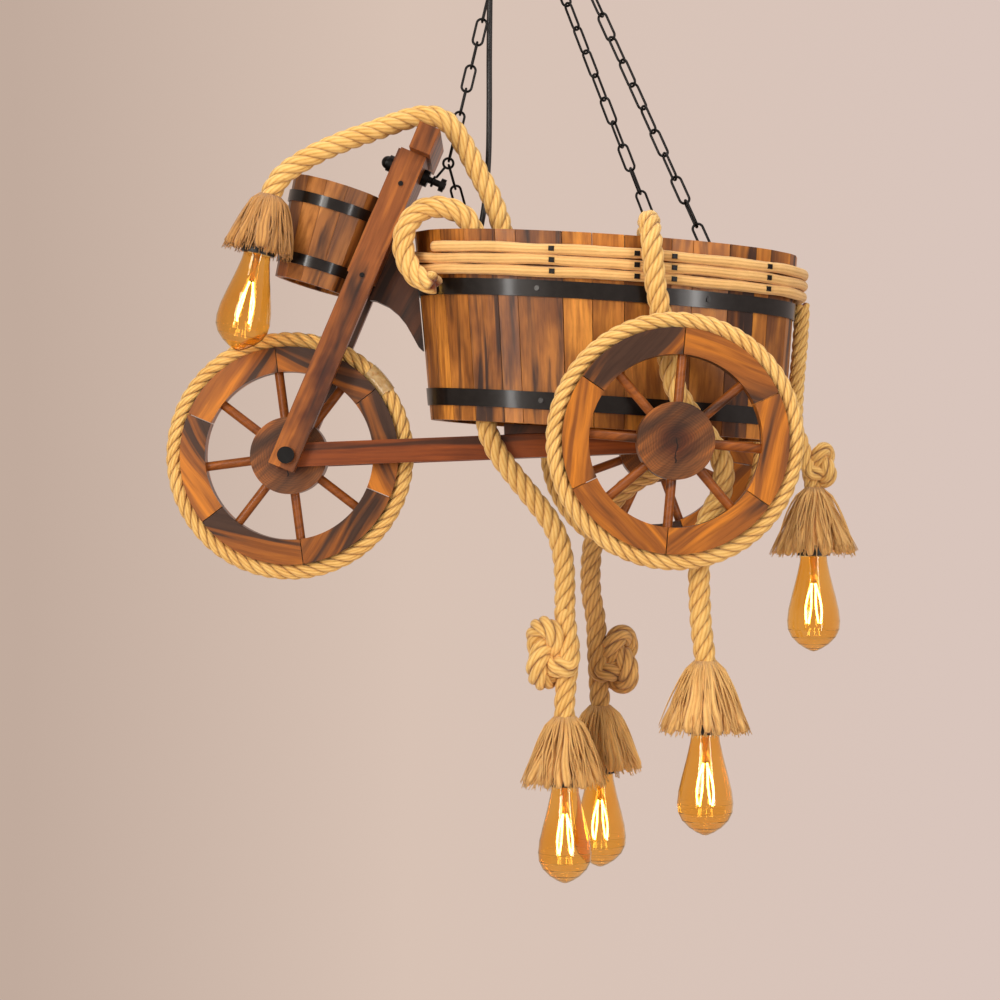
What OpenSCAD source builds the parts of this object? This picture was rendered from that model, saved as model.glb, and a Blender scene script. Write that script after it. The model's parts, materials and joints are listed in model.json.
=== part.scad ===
// Tricycle-shaped chandelier of wood and hemp rope, hung from a ceiling cup by chains.
// Origin: centre of the ceiling cup's top face. +X towards the rear wheels, +Z up, millimetres.

/* [Ceiling cup] */
// Diameter of the ceiling cup
cup_d = 150; // [145:1:190]
// Height of the ceiling cup
cup_h = 30; // [22:1:45]
// Sheet thickness of the ceiling cup
cup_wall = 1.5; // [1:0.1:3]
// Distance between the two ceiling screws
screw_spacing = 70; // [50:1:90]
// Diameter of the ceiling screw holes
screw_hole_d = 5; // [4:0.1:6.5]
// Thickness of the mounting bar inside the cup
bar_t = 2; // [1.5:0.1:4]

/* [Chains] */
// Wanted pitch of the chain links
link_pitch = 30; // [24:1:38]
// Wire diameter of the links
link_wire = 3; // [2:0.1:4]
// Width of a link between its wire centres
link_width = 12; // [10:0.5:16]
// Radius of the eyes that the chains hook into, to the wire's centre
eye_r = 6; // [5:0.5:8]
// Wire diameter of the eyes
eye_wire = 3; // [2:0.1:4]

/* [Tub] */
// Length of the tub at its rim
tub_len = 460; // [440:1:470]
// Width of the tub at its rim
tub_wid = 250; // [240:1:256]
// Height of the staves
tub_h = 222; // [210:1:230]
// How far each side of the tub draws in from rim to foot
tub_draw = 18; // [12:1:22]
// How far the tub's foot is set towards the rear of its rim
tub_set = 16; // [10:1:20]
// Thickness of the staves
stave_t = 14; // [10:1:16]
// Number of staves
stave_count = 34; // [28:1:40]
// How far the tub leans down towards the rear, in degrees
tub_lean = 3.7; // [2.5:0.1:4]
// Thickness of the bottom board
board_t = 12; // [8:1:16]
// Depth of the bottom board above the foot of the staves
board_up = 8; // [5:1:12]
// Thickness of the iron hoops
hoop_t = 2; // [1.5:0.1:3]
// Width of the upper hoop
hoop_top_w = 19; // [16:1:20]
// Width of the lower hoop
hoop_low_w = 20; // [16:1:24]

/* [Wheels] */
// Outer diameter of the front wheel with its rope
front_wheel_d = 297; // [285:1:300]
// Outer diameter of the rear wheels with their ropes
rear_wheel_d = 290; // [280:1:294]
// Diameter of the rope laid round each wheel
tyre_d = 20; // [16:0.5:22]
// Radial width of the wooden rims
rim_w = 30; // [26:1:34]
// Thickness of the wooden rims
rim_t = 28; // [24:1:30]
// Diameter of the front hub
front_hub_d = 92; // [80:1:96]
// Diameter of the rear hubs
rear_hub_d = 87; // [78:1:92]
// Thickness of the hubs
hub_t = 40; // [34:1:40]
// Diameter of the spokes
spoke_d = 11; // [9:0.5:13]
// Number of spokes in a wheel
spoke_count = 8; // [6:1:10]
// Number of felloes in a rim
felloe_count = 6; // [4:1:8]
// Distance between the middle planes of the rear wheels
track = 370; // [366:1:384]
// Diameter of the front axle bolt
front_axle_d = 10; // [8:0.5:12]
// Diameter of the rear axle
rear_axle_d = 12; // [10:0.5:14]

/* [Frame] */
// Height of the two long beams
beam_h = 28; // [24:1:30]
// Thickness of the beams
beam_t = 16; // [12:1:16]
// Width of the fork legs
leg_w = 32; // [28:1:34]
// Thickness of the fork legs
leg_t = 16; // [12:1:18]
// Length of the fork from the axle to the handlebar
fork_len = 387; // [378:1:392]
// Width of the head block between the fork legs
head_w = 36; // [34:1:40]
// Length of the head block
head_len = 158; // [150:1:165]
// Length of the handlebar
bar_len = 170; // [140:5:230]
// Width of the handlebar across the fork
bar_w = 26; // [22:1:30]
// Height of the handlebar along the fork
bar_h = 32; // [28:1:34]
// Thickness of the neck board
neck_t = 24; // [18:1:26]
// Diameter of the bolt through the head block
head_bolt_d = 8; // [6:0.5:9]

/* [Bucket] */
// Diameter of the small bucket at its rim
bucket_top_d = 118; // [110:1:124]
// Diameter of the small bucket at its foot
bucket_low_d = 92; // [84:1:98]
// Height of the small bucket
bucket_h = 122; // [110:1:128]
// Thickness of the bucket's staves
bucket_t = 9; // [7:0.5:11]
// Number of staves in the bucket
bucket_staves = 14; // [12:1:18]

/* [Lamps] */
// Diameter of the four thick lamp ropes
rope_d = 25; // [20:0.5:25]
// Diameter of the rope of the rear lamp
rear_rope_d = 19; // [16:0.5:20]
// Diameter of the rope wound round the rim
band_d = 12.4; // [10:0.1:12.6]
// Number of turns of the rope wound round the rim
band_turns = 3; // [2:1:3]
// Diameter of the frayed skirts of the hanging lamps at their lower edge
skirt_d = 100; // [86:1:104]
// Diameter of the frayed skirt of the head lamp at its lower edge
head_skirt_d = 78; // [70:1:90]
// Height of the frayed skirt
skirt_h = 74; // [66:1:80]
// Height of the head lamp's frayed skirt
head_skirt_h = 62; // [58:1:70]
// Thickness of the frayed skirt
skirt_t = 6; // [4:0.5:9]
// Diameter of the lamp holders
holder_d = 40; // [36:0.5:42]
// Height of the lamp holders
holder_h = 52; // [46:1:56]
// Greatest diameter of the bulb glass
bulb_d = 64; // [58:1:66]
// Length of the bulb glass below the holder
bulb_len = 116; // [108:1:118]
// Thickness of the bulb glass
glass_t = 1; // [0.8:0.1:1.5]
// Outer diameter of the bulb's screw cap
cap_d = 26; // [25:0.1:27]
// Diameter of the power cord
cord_d = 7; // [5:0.5:8]

/* [Hidden] */
$fn = 48;

fit = 0.1;            // radial clearance of wood joints
run = 0.06;           // radial running clearance of the wheels on their axles
seat = 0.3;           // gap between pieces that lie against each other

wood = "#9a5c2e";
dark_wood = "#5a331c";
iron = "#1b1a1a";
hemp = "#d8ab66";

// Places of the axles and of the fork, read from the picture at 1.2 mm a pixel.
front_axle_at = [-276, 0, -649];
rear_axle_at = [172, 0, -636];
fork_lean = 22.9;
axle_drop = 5;        // depth of the rear axle below the middle of the beams
wheelbase = rear_axle_at + [0, 0, axle_drop] - front_axle_at;
beam_run = norm(wheelbase);
beam_tilt = -atan2(wheelbase[2], wheelbase[0]);
beam_y = hub_t / 2 + 0.5;
leg_y = beam_y + beam_t + 0.5;

// The tub's own frame has its origin in the middle of the rim.
tub_at = [103, 0, -396.8];

// ---------------------------------------------------------------- shared shapes

// Turns local +Z from point a towards point b.
module from_to(a, b) {
    v = b - a;
    translate(a)
        rotate([0, acos(v[2] / norm(v)), atan2(v[1], v[0])])
            children();
}

// A ring of round wire in the XZ plane, or the part of it over the given angle.
module wire_ring(r, wire, angle = 360) {
    rotate([90, 0, 0])
        rotate_extrude(angle = angle)
            translate([r, 0])
                circle(d = wire, $fn = 24);
}

// A straight rod between two points.
module rod(a, b, d) {
    from_to(a, b)
        cylinder(h = norm(b - a), d = d);
}

function unit(v) = v / norm(v);
function heading(p, i) = unit(p[min(i + 1, len(p) - 1)] - p[max(i - 1, 0)]);
function ring_of(c, t, side, r, n) = [
    for (k = [0 : n - 1])
        c + r * (cos(360 * k / n) * side + sin(360 * k / n) * cross(t, side))
];
function flat(rings) = [for (r = rings) for (p = r) p];

// A tube of n sides through the points of a route; across is never along the route.
module tube(route, d, across = [0, 1, 0], n = 10) {
    count = len(route);
    rings = [
        for (i = [0 : count - 1])
            let (t = heading(route, i))
                ring_of(route[i], t, unit(cross(t, across)), d / 2, n)
    ];
    sides = [
        for (i = [0 : count - 2], k = [0 : n - 1])
            let (a = i * n + k, b = i * n + (k + 1) % n)
                each [[a, b + n, b], [a, a + n, b + n]]
    ];
    ends = [
        [for (k = [0 : n - 1]) k],
        [for (k = [n - 1 : -1 : 0]) (count - 1) * n + k]
    ];
    polyhedron(flat(rings), concat(sides, ends));
}

// A point on an oval at height z with its middle at x.
function oval(a, b, t, z, x) = [x + a * cos(t), b * sin(t), z];

// A closed band between an inner and an outer oval; each level is [z, a, b, thickness, x].
module oval_band(low, high, n = 72) {
    points = [
        for (k = [0 : n - 1])
            let (t = 360 * k / n)
                each [
                    oval(low[1], low[2], t, low[0], low[4]),
                    oval(low[1] + low[3], low[2] + low[3], t, low[0], low[4]),
                    oval(high[1] + high[3], high[2] + high[3], t, high[0], high[4]),
                    oval(high[1], high[2], t, high[0], high[4])
                ]
    ];
    faces = [
        for (k = [0 : n - 1], s = [0 : 3])
            let (
                a = 4 * k + s,
                b = 4 * k + (s + 1) % 4,
                c = 4 * ((k + 1) % n) + s,
                d = 4 * ((k + 1) % n) + (s + 1) % 4
            )
                each [[a, b, d], [a, d, c]]
    ];
    polyhedron(points, faces);
}

// One flat stave between two angles of an oval tub that draws in downwards.
module stave(t0, t1, top, foot, thick) {
    corners = [
        for (level = [foot, top], t = [t0, t1], d = [0, thick])
            oval(level[1] - d, level[2] - d, t, level[0], level[4])
    ];
    polyhedron(corners, [
        [0, 2, 3, 1], [4, 5, 7, 6], [0, 1, 5, 4],
        [2, 6, 7, 3], [0, 4, 6, 2], [1, 3, 7, 5]
    ]);
}

// ---------------------------------------------------------------- ceiling cup

hook_points = [[-24, 0], [34, 30], [58, -20]];
gland_at = [-36, 24];
hook_drop = 9;

module ceiling_cup() {
    color(iron)
        difference() {
            translate([0, 0, -cup_h])
                cylinder(h = cup_h, d = cup_d, $fn = 96);
            translate([0, 0, -cup_h + cup_wall])
                cylinder(h = cup_h, d = cup_d - 2 * cup_wall, $fn = 96);
            for (p = hook_points)
                translate([p[0], p[1], -cup_h - 1])
                    cylinder(h = cup_wall + 2, d = eye_wire + 2 * fit);
            translate([gland_at[0], gland_at[1], -cup_h - 1])
                cylinder(h = cup_wall + 2, d = gland_thread + 2 * fit);
            for (side = [-1, 1])
                translate([side * cup_d / 2, 0, -cup_ear_drop])
                    rotate([0, 90, 0])
                        cylinder(h = 4 * cup_wall, d = cup_screw_d + 2 * fit, center = true);
        }
}

bar_w_flat = 20;
cup_screw_d = 4;
cup_ear_drop = 10;
ear_t = 2;
ear_h = 16;

// A flat bar against the ceiling, with a turned-down ear at each end for the cup's screws.
module mounting_bar() {
    reach = sqrt(pow(cup_d / 2 - cup_wall - seat, 2) - pow(bar_w_flat / 2, 2));
    color("silver")
        difference() {
            union() {
                translate([-reach, -bar_w_flat / 2, -bar_t])
                    cube([2 * reach, bar_w_flat, bar_t]);
                for (x = [-reach, reach - ear_t])
                    translate([x, -bar_w_flat / 2 + 4, -ear_h])
                        cube([ear_t, bar_w_flat - 8, ear_h]);
            }
            for (x = [-screw_spacing / 2, screw_spacing / 2])
                translate([x, 0, -bar_t - 1])
                    cylinder(h = bar_t + 2, d = screw_hole_d);
            for (side = [-1, 1])
                translate([side * reach, 0, -cup_ear_drop])
                    rotate([0, 90, 0])
                        cylinder(h = 4 * ear_t + 2, d = cup_screw_d + 2 * fit, center = true);
        }
}

// Two pan-head screws through the cup's sides into the bar's ears.
module cup_screws() {
    color("silver")
        for (side = [-1, 1])
            translate([side * (cup_d / 2 + seat), 0, -cup_ear_drop])
                rotate([0, side * 90, 0]) {
                    cylinder(h = 3, d = cup_screw_d + 4);
                    translate([0, 0, -cup_wall - ear_t - 2])
                        cylinder(h = cup_wall + ear_t + 3, d = cup_screw_d);
                }
}

// An eye with its shank up; the eye's middle is at the origin.
module eye_up(shank, towards) {
    rotate([0, 0, atan2(towards[1], towards[0])])
        wire_ring(eye_r, eye_wire);
    translate([0, 0, eye_r])
        cylinder(h = shank, d = eye_wire);
}

nut_h = 3;

// Three eyes under the cup, each with a nut inside it.
module chain_hooks() {
    color(iron)
        for (i = [0 : 2])
            translate(hook_at(i)) {
                eye_up(hook_drop - eye_r + cup_wall + nut_h + 2, hook_ends[i] - hook_at(i));
                translate([0, 0, hook_drop + cup_wall + seat])
                    cylinder(h = nut_h, d = eye_wire + 5);
                translate([0, 0, hook_drop - seat - 1.5])
                    cylinder(h = 1.5, d = eye_wire + 5);
            }
}

gland_thread = 12;
gland_h = 16;

// The gland that the power cord comes down through.
module cord_gland() {
    color(iron)
        translate([gland_at[0], gland_at[1], -cup_h])
            difference() {
                union() {
                    translate([0, 0, -gland_h])
                        cylinder(h = gland_h - seat, d1 = cord_d + 5, d2 = gland_thread + 6, $fn = 48);
                    cylinder(h = cup_wall + 4, d = gland_thread);
                    translate([0, 0, -seat])
                        cylinder(h = seat, d = gland_thread);
                    translate([0, 0, cup_wall + seat])
                        cylinder(h = 3, d = gland_thread + 6);
                }
                translate([0, 0, -gland_h - 1])
                    cylinder(h = gland_h + cup_wall + 8, d = cord_d + 2 * fit);
            }
}

// ---------------------------------------------------------------- chains

link_gap = 0.5;

// One link along +Z, with its middle at the origin and its wire loops past each junction.
module chain_link(pitch) {
    half = pitch / 2 + (link_wire + link_gap) / 2 - link_width / 2;
    for (end = [0, 180])
        rotate([0, end, 0])
            translate([0, 0, half])
                wire_ring(link_width / 2, link_wire, 180);
    for (x = [-link_width / 2, link_width / 2])
        translate([x, 0, -half])
            cylinder(h = 2 * half, d = link_wire, $fn = 24);
}

// Half a turn's remainder between -90 and 90.
function half_turn(a) = a - 180 * round(a / 180);

// Where a chain's end wire touches an eye's wire, in the eye's plane, on its way to the far end.
function junction(eye, normal, far) =
    let (v = far - eye, in_plane = v - (v * normal) * normal)
        eye + unit(in_plane) * (eye_r - (eye_wire + link_gap) / 2 + 0.05);

// A taut chain from one eye to another; each eye's plane has the normal given, and the links turn
// a little on their way so that both ends cross their eyes squarely.
module chain(eye_a, eye_b, normal_a, normal_b) {
    a = junction(eye_a, normal_a, eye_b);
    b = junction(eye_b, normal_b, eye_a);
    way = unit(b - a);
    count = max(2, round(norm(b - a) / link_pitch));
    pitch = norm(b - a) / count;
    lean = acos(way[2]);
    side = atan2(way[1], way[0]);
    local_x = [cos(lean) * cos(side), cos(lean) * sin(side), -sin(lean)];
    local_y = [-sin(side), cos(side), 0];
    turn_a = atan2(normal_a * local_y, normal_a * local_x);
    turn_b = atan2(normal_b * local_y, normal_b * local_x);
    step = 90 + half_turn(turn_b - turn_a - 90 * (count - 1)) / (count - 1);
    color(iron)
        from_to(a, b)
            for (i = [0 : count - 1])
                translate([0, 0, (i + 0.5) * pitch])
                    rotate([0, 0, turn_a + step * i])
                        chain_link(pitch);
}

// The normal of an eye whose plane holds its shank and the chain's direction.
function eye_normal(shank, eye, far) = unit(cross(shank, far - eye));

hanger_eye_at = [-86, 0, -298];
neck_eye_at = [-58, 62, -396];
near_eye_at = [219, -83, -414];
far_eye_at = [184, 92, -411];
hook_ends = [hanger_eye_at, far_eye_at, near_eye_at];
up = [0, 0, 1];
across = [0, 1, 0];
function hook_at(i) = [hook_points[i][0], hook_points[i][1], -cup_h - hook_drop];

// A chain from a hook under the cup to a tub eye whose shank lies across the tub.
module rear_chain(i) {
    chain(hook_at(i), hook_ends[i],
        eye_normal(up, hook_at(i), hook_ends[i]), eye_normal(across, hook_ends[i], hook_at(i)));
}

module front_chain() {
    chain(hook_at(0), hanger_eye_at, across, across);
}

module neck_chain() {
    chain(hanger_eye_at, neck_eye_at, across, eye_normal(across, neck_eye_at, hanger_eye_at));
}

module near_rear_chain() {
    rear_chain(2);
}

module far_rear_chain() {
    rear_chain(1);
}

// ---------------------------------------------------------------- tub

module on_tub() {
    translate(tub_at)
        rotate([0, tub_lean, 0])
            children();
}

// Half length and half width of the tub's outside at a depth z under the rim.
function tub_a(z) = tub_len / 2 + tub_draw * z / tub_h;
function tub_b(z) = tub_wid / 2 + tub_draw * z / tub_h;
function tub_x(z) = -tub_set * z / tub_h;
function tub_level(z, out = 0, thick = 0) = [z, tub_a(z) + out, tub_b(z) + out, thick, tub_x(z)];
function on_wall(z, t, out) = oval(tub_a(z) + out, tub_b(z) + out, t, z, tub_x(z));
function wall_facing(z, t, out) = atan2(sin(t) / (tub_b(z) + out), cos(t) / (tub_a(z) + out));
stave_gap = 0.12;     // degrees of oval angle between two staves
stave_wander = 0.2;   // how unequal the staves are, as a share of one

function stave_edge(i) = 360 * (i % stave_count + stave_wander * sin(137 * (i % stave_count))) / stave_count
    + (i >= stave_count ? 360 : 0);

module tub_staves() {
    color(wood)
        on_tub()
            for (i = [0 : stave_count - 1])
                stave(stave_edge(i) + stave_gap, stave_edge(i + 1) - stave_gap,
                    tub_level(0), tub_level(-tub_h), stave_t);
}

board_in = 1.6;       // the board's edge, inside the staves' inner oval
drop_hole_front = [-40, -47.8];
drop_hole_far = [200, 65];
drop_play = 0.5;
board_low = -tub_h + board_up;
board_mid = board_low + board_t / 2;
function hole_x(x) = (x - tub_at[0] - board_mid * sin(tub_lean)) / cos(tub_lean);

module tub_bottom() {
    a = tub_a(board_low) - stave_t - board_in;
    b = tub_b(board_low) - stave_t - board_in;
    color(dark_wood)
        on_tub()
            difference() {
                translate([0, 0, board_low])
                    linear_extrude(board_t)
                        polygon([for (k = [0 : 71]) [tub_x(board_low) + a * cos(5 * k), b * sin(5 * k)]]);
                for (hole = [drop_hole_front, drop_hole_far])
                    translate([hole_x(hole[0]), hole[1], board_low - 1])
                        cylinder(h = board_t + 2, d = rope_d + 2 * drop_play);
            }
}

upper_hoop_z = -57;
lower_hoop_z = -185;

// The two iron hoops round the tub.
module tub_hoops() {
    color(iron)
        on_tub()
            for (band = [[upper_hoop_z, hoop_top_w], [lower_hoop_z, hoop_low_w]])
                oval_band(tub_level(band[0] - band[1], seat, hoop_t), tub_level(band[0], seat, hoop_t));
}

rivet_d = 6;
rivet_angles = [-112, -60, 68, 128];

// Round rivet heads on both hoops.
module hoop_rivets() {
    color("dimgray")
        on_tub()
            for (band = [[upper_hoop_z, hoop_top_w], [lower_hoop_z, hoop_low_w]], t = rivet_angles)
                let (z = band[0] - band[1] / 2, out = seat + hoop_t)
                    translate(on_wall(z, t, out))
                        rotate([0, 90, wall_facing(z, t, out)])
                            translate([0, 0, seat])
                                cylinder(h = 1.6, d = rivet_d, $fn = 24);
}

// The eyes that the chains hook into, each on a shank screwed into a stave from inside.
module tub_eyes() {
    color(iron)
        for (pair = [[neck_eye_at, hanger_eye_at], [near_eye_at, hook_at(2)], [far_eye_at, hook_at(1)]])
            let (
                at = pair[0],
                out = at[1] < 0 ? -1 : 1,
                way = pair[1] - at,
                local = at - tub_at,
                inner_a = tub_a(local[2]) - stave_t,
                inner_b = tub_b(local[2]) - stave_t,
                wall = inner_b * sqrt(1 - pow((local[0] - tub_x(local[2])) / inner_a, 2))
            )
                translate(at) {
                    rotate([0, atan2(way[0], way[2]), 0])
                        rotate([0, 0, 90])
                            wire_ring(eye_r, eye_wire);
                    rotate([-out * 90, 0, 0])
                        translate([0, 0, eye_r])
                            cylinder(h = wall - abs(at[1]) - eye_r + 1, d = eye_wire + 0.8);
                }
}

// ---------------------------------------------------------------- rope on the rim

band_pitch = band_d + 0.5;
band_rings = 24;
band_step = 1 / 6;    // the part of each turn in which it steps down to the next level
band_start = 210;     // where the winding starts, in degrees round the tub
band_top = -15.5 - band_d / 2;
band_out = band_d / 2 + 2.4;

// How many levels a turn has stepped down: none until the last part of each turn.
function band_level(turn) =
    let (part = max(0, (turn - floor(turn) - 1 + band_step) / band_step))
        floor(turn) + part * part * (3 - 2 * part);
band_route = [
    for (i = [0 : band_rings * (band_turns - band_step)])
        let (z = band_top - band_pitch * band_level(i / band_rings))
            on_wall(z, band_start + 360 * i / band_rings, band_out)
];
band_least_gap = min([
    for (i = [0 : len(band_route) - 1 - band_rings])
        norm(band_route[i + band_rings] - band_route[i])
]) - band_d;
echo(rim_winding_least_gap = band_least_gap);

module rim_winding() {
    color(hemp)
        on_tub()
            tube(band_route, band_d, [0, 0, 1], 6);
}

pin_angles = [-72.5, -83, -106.5, -39.5];
pin_d = 4;

// Black pins that hold the winding's turns, in columns.
module winding_pins() {
    color(iron)
        on_tub()
            for (t = pin_angles, k = [0 : band_turns - 1])
                let (z = band_top - band_pitch * k, out = band_out + band_d / 2 + 0.1)
                    translate(on_wall(z, t, out))
                        rotate([0, 90, wall_facing(z, t, out)])
                            cylinder(h = 1.5, d = pin_d, $fn = 24);
}

loop_d = 26;
loop_route = [
    [-54, -53, -406], [-56, -54, -384], [-69, -56, -366], [-92, -59, -358], [-114, -62, -361],
    [-129, -65, -374], [-136, -68, -390], [-137, -70, -408], [-132, -72, -425], [-123, -76, -439],
    [-111, -83, -447], [-100, -91, -450]
];

module front_loop() {
    color(hemp)
        tube(loop_route, loop_d, [0, 1, 0], 10);
}

// ---------------------------------------------------------------- wiring box

box_size = [90, 56, 30];
box_wall = 2;
box_x = -40;
box_gland_d = 14;

module on_board() {
    on_tub()
        translate([box_x, 0, board_low + board_t + seat])
            children();
}

// An open box screwed to the bottom board, with a gland towards the front.
module wiring_box() {
    color("#26262a")
        on_board()
            difference() {
                union() {
                    translate([-box_size[0] / 2, -box_size[1] / 2, 0])
                        cube(box_size);
                    translate([-box_size[0] / 2 - 12, 0, box_size[2] / 2])
                        rotate([0, 90, 0])
                            cylinder(h = 13, d = box_gland_d);
                }
                translate([-box_size[0] / 2 + box_wall, -box_size[1] / 2 + box_wall, box_wall])
                    cube([box_size[0] - 2 * box_wall, box_size[1] - 2 * box_wall, box_size[2]]);
                translate([-box_size[0] / 2 - 13, 0, box_size[2] / 2])
                    rotate([0, 90, 0])
                        cylinder(h = 18, d = cord_d + 2 * fit);
            }
}

module box_lid() {
    color("#303036")
        on_board()
            translate([-box_size[0] / 2, -box_size[1] / 2, box_size[2] + seat])
                cube([box_size[0], box_size[1], 2.5]);
}

// ---------------------------------------------------------------- frame

module on_beam() {
    translate(front_axle_at)
        rotate([0, beam_tilt, 0])
            children();
}

beam_past = 14;

module beam(side) {
    y = side < 0 ? -beam_y - beam_t : beam_y;
    color(wood)
        on_beam()
            difference() {
                translate([-beam_past, y, -beam_h / 2])
                    cube([beam_run + 2 * beam_past, beam_t, beam_h]);
                translate([0, y - 1, 0])
                    rotate([-90, 0, 0])
                        cylinder(h = beam_t + 2, d = front_axle_d + 2 * fit);
                translate([beam_run + axle_drop * sin(beam_tilt), y - 1, -axle_drop * cos(beam_tilt)])
                    rotate([-90, 0, 0])
                        cylinder(h = beam_t + 2, d = rear_axle_d + 2 * fit);
                rotate([0, -beam_tilt, 0])
                    translate(-front_axle_at)
                        on_tub()
                            translate([-tub_len / 2, -tub_wid / 2, board_low - seat])
                                cube([tub_len, tub_wid, tub_h]);
            }
}

module near_beam() {
    beam(-1);
}

module far_beam() {
    beam(1);
}

bolster_w = 56;
bolster_half = 50;
foot_z = -tub_h;

// A block between the beams and the tub, cut to the tub's lean, with a tongue between the beams.
module bolster(x, w, tongue) {
    color(dark_wood)
        difference() {
            on_beam()
                union() {
                    translate([x, -bolster_half, beam_h / 2 + seat])
                        cube([w, 2 * bolster_half, 40]);
                    translate([x, -beam_y + seat, -tongue])
                        cube([w, 2 * beam_y - 2 * seat, tongue + beam_h]);
                }
            on_tub()
                translate([-tub_len / 2, -tub_wid / 2, foot_z - seat])
                    cube([tub_len, tub_wid, tub_h]);
        }
}

front_bolster_x = 258;
rear_bolster_x = beam_run - 86;

module front_bolster() {
    bolster(front_bolster_x, bolster_w, beam_h / 2);
}

module rear_bolster() {
    bolster(rear_bolster_x, bolster_w, beam_h / 2);
}

nail_d = 5;
fork_nail_s = [230, 347];

// Round black nail heads on the fork legs, both sides.
module frame_nails() {
    color(iron)
        on_fork()
            for (s = fork_nail_s, side = [-1, 1])
                translate([0, side * (leg_y + leg_t + 0.1), s])
                    rotate([side < 0 ? 90 : -90, 0, 0])
                        cylinder(h = 1.5, d = nail_d + 1, $fn = 24);
}

// The fork's own frame has its origin on the front axle and +Z up along the fork.
module on_fork() {
    translate(front_axle_at)
        rotate([0, fork_lean, 0])
            children();
}

leg_past = 16;

module fork_leg(side) {
    y = side < 0 ? -leg_y - leg_t : leg_y;
    color(wood)
        on_fork()
            difference() {
                translate([-leg_w / 2, y, -leg_past])
                    cube([leg_w, leg_t, fork_len + leg_past]);
                translate([0, y - 1, 0])
                    rotate([-90, 0, 0])
                        cylinder(h = leg_t + 2, d = front_axle_d + 2 * fit);
            }
}

module near_fork_leg() {
    fork_leg(-1);
}

module far_fork_leg() {
    fork_leg(1);
}

head_forward = 2;
bolt_s = 370;

// The block between the fork legs' upper ends, a little forward of them, hollowed for the bucket.
module head_block() {
    color(wood)
        on_fork()
            difference() {
                translate([-head_w / 2 - head_forward, -leg_y + seat, fork_len - head_len])
                    cube([head_w, 2 * leg_y - 2 * seat, head_len]);
                translate([0, 0, bolt_s])
                    rotate([0, 90, 0])
                        cylinder(h = 2 * head_w, d = head_bolt_d + 2 * fit, center = true);
                on_bucket_wall()
                    bucket_room();
            }
}

bar_back = 8;         // how far the handlebar's middle lies behind the fork's

module handlebar() {
    color(wood)
        on_fork()
            translate([bar_back - bar_w / 2, -bar_len / 2, fork_len + seat])
                cube([bar_w, bar_len, bar_h]);
}

bolt_front = 22;
bolt_rear = 30;
bolt_nut_d = 20;
bolt_nut_h = 8;

// The bolt through the head block, a domed nut in front and two nuts behind.
module head_bolt() {
    front = -head_w / 2 - head_forward;
    rear = head_w / 2 - head_forward;
    color(iron)
        on_fork()
            translate([0, 0, bolt_s]) {
                rotate([0, 90, 0]) {
                    translate([0, 0, front - bolt_front + 8])
                        cylinder(h = bolt_front + head_w + bolt_rear - 8, d = head_bolt_d);
                    translate([0, 0, front - seat - bolt_nut_h])
                        cylinder(h = bolt_nut_h, d = bolt_nut_d);
                    translate([0, 0, rear + seat])
                        cylinder(h = bolt_nut_h, d = bolt_nut_d);
                    translate([0, 0, rear + bolt_rear - 7])
                        cylinder(h = 6, d = bolt_nut_d - 4);
                }
                translate([front - seat - bolt_nut_h, 0, 0])
                    sphere(d = bolt_nut_d - 4);
            }
}

hanger_at = bolt_nut_h + 6;

// A wire hanger round the bolt's rear end that lifts to the eye where the two chains meet.
module chain_hanger() {
    on_bolt = [head_w / 2 - head_forward + hanger_at, 0, bolt_s];
    bolt_at = front_axle_at + [
        on_bolt[0] * cos(fork_lean) + on_bolt[2] * sin(fork_lean),
        0,
        -on_bolt[0] * sin(fork_lean) + on_bolt[2] * cos(fork_lean)
    ];
    ring = head_bolt_d / 2 + eye_wire / 2 + 0.2;
    up = unit(hanger_eye_at - bolt_at);
    color(iron) {
        translate(hanger_eye_at)
            wire_ring(eye_r, eye_wire);
        translate(bolt_at)
            rotate([0, fork_lean, 0])
                rotate([0, 0, 90])
                    wire_ring(ring, eye_wire);
        rod(bolt_at + up * ring, hanger_eye_at - up * eye_r, eye_wire);
    }
}

neck_back = 14;

// The curved board between the fork and the tub's front, drawn in the XZ plane.
neck_outline = [
    [-186, -462], [-172, -464], [-157, -471], [-146, -480], [-137, -491], [-129, -505],
    [-122, -518], [-117, -523], [-105, -523], [-105, -425], [-128, -395], [-128, -366],
    [-134, -352], [-140, -352]
];

module neck_board() {
    color(dark_wood)
        difference() {
            translate([0, neck_t / 2, 0])
                rotate([90, 0, 0])
                    linear_extrude(neck_t)
                        polygon(neck_outline);
            on_fork()
                translate([-leg_w, -leg_y, 0])
                    cube([leg_w + head_w / 2 - head_forward + seat, 2 * leg_y, fork_len]);
            on_tub() {
                oval_block(seat + hoop_t + seat, -tub_h, upper_hoop_z);
                oval_block(band_out + band_d / 2 + seat, upper_hoop_z, 0);
            }
        }
}

// The tub's outside between two levels as one block, for cutting what lies against it.
module oval_block(out, low, high) {
    levels = [tub_level(low, out), tub_level(high, out)];
    n = 72;
    points = [for (l = levels, k = [0 : n - 1]) oval(l[1], l[2], 360 * k / n, l[0], l[4])];
    sides = [
        for (k = [0 : n - 1])
            let (b = (k + 1) % n)
                each [[k, b + n, b], [k, k + n, b + n]]
    ];
    ends = [[for (k = [0 : n - 1]) k], [for (k = [n - 1 : -1 : 0]) n + k]];
    polyhedron(points, concat(sides, ends));
}

// ---------------------------------------------------------------- bucket

bucket_taper = atan((bucket_top_d - bucket_low_d) / 2 / bucket_h);
bucket_s = 202;
bucket_wall_x = -9;

// The bucket stands in the hollow of the head block with its rear wall along the fork.
module on_bucket_wall() {
    translate([bucket_wall_x, 0, bucket_s])
        rotate([0, -bucket_taper, 0])
            translate([-bucket_low_d / 2, 0, 0])
                children();
}

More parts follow.
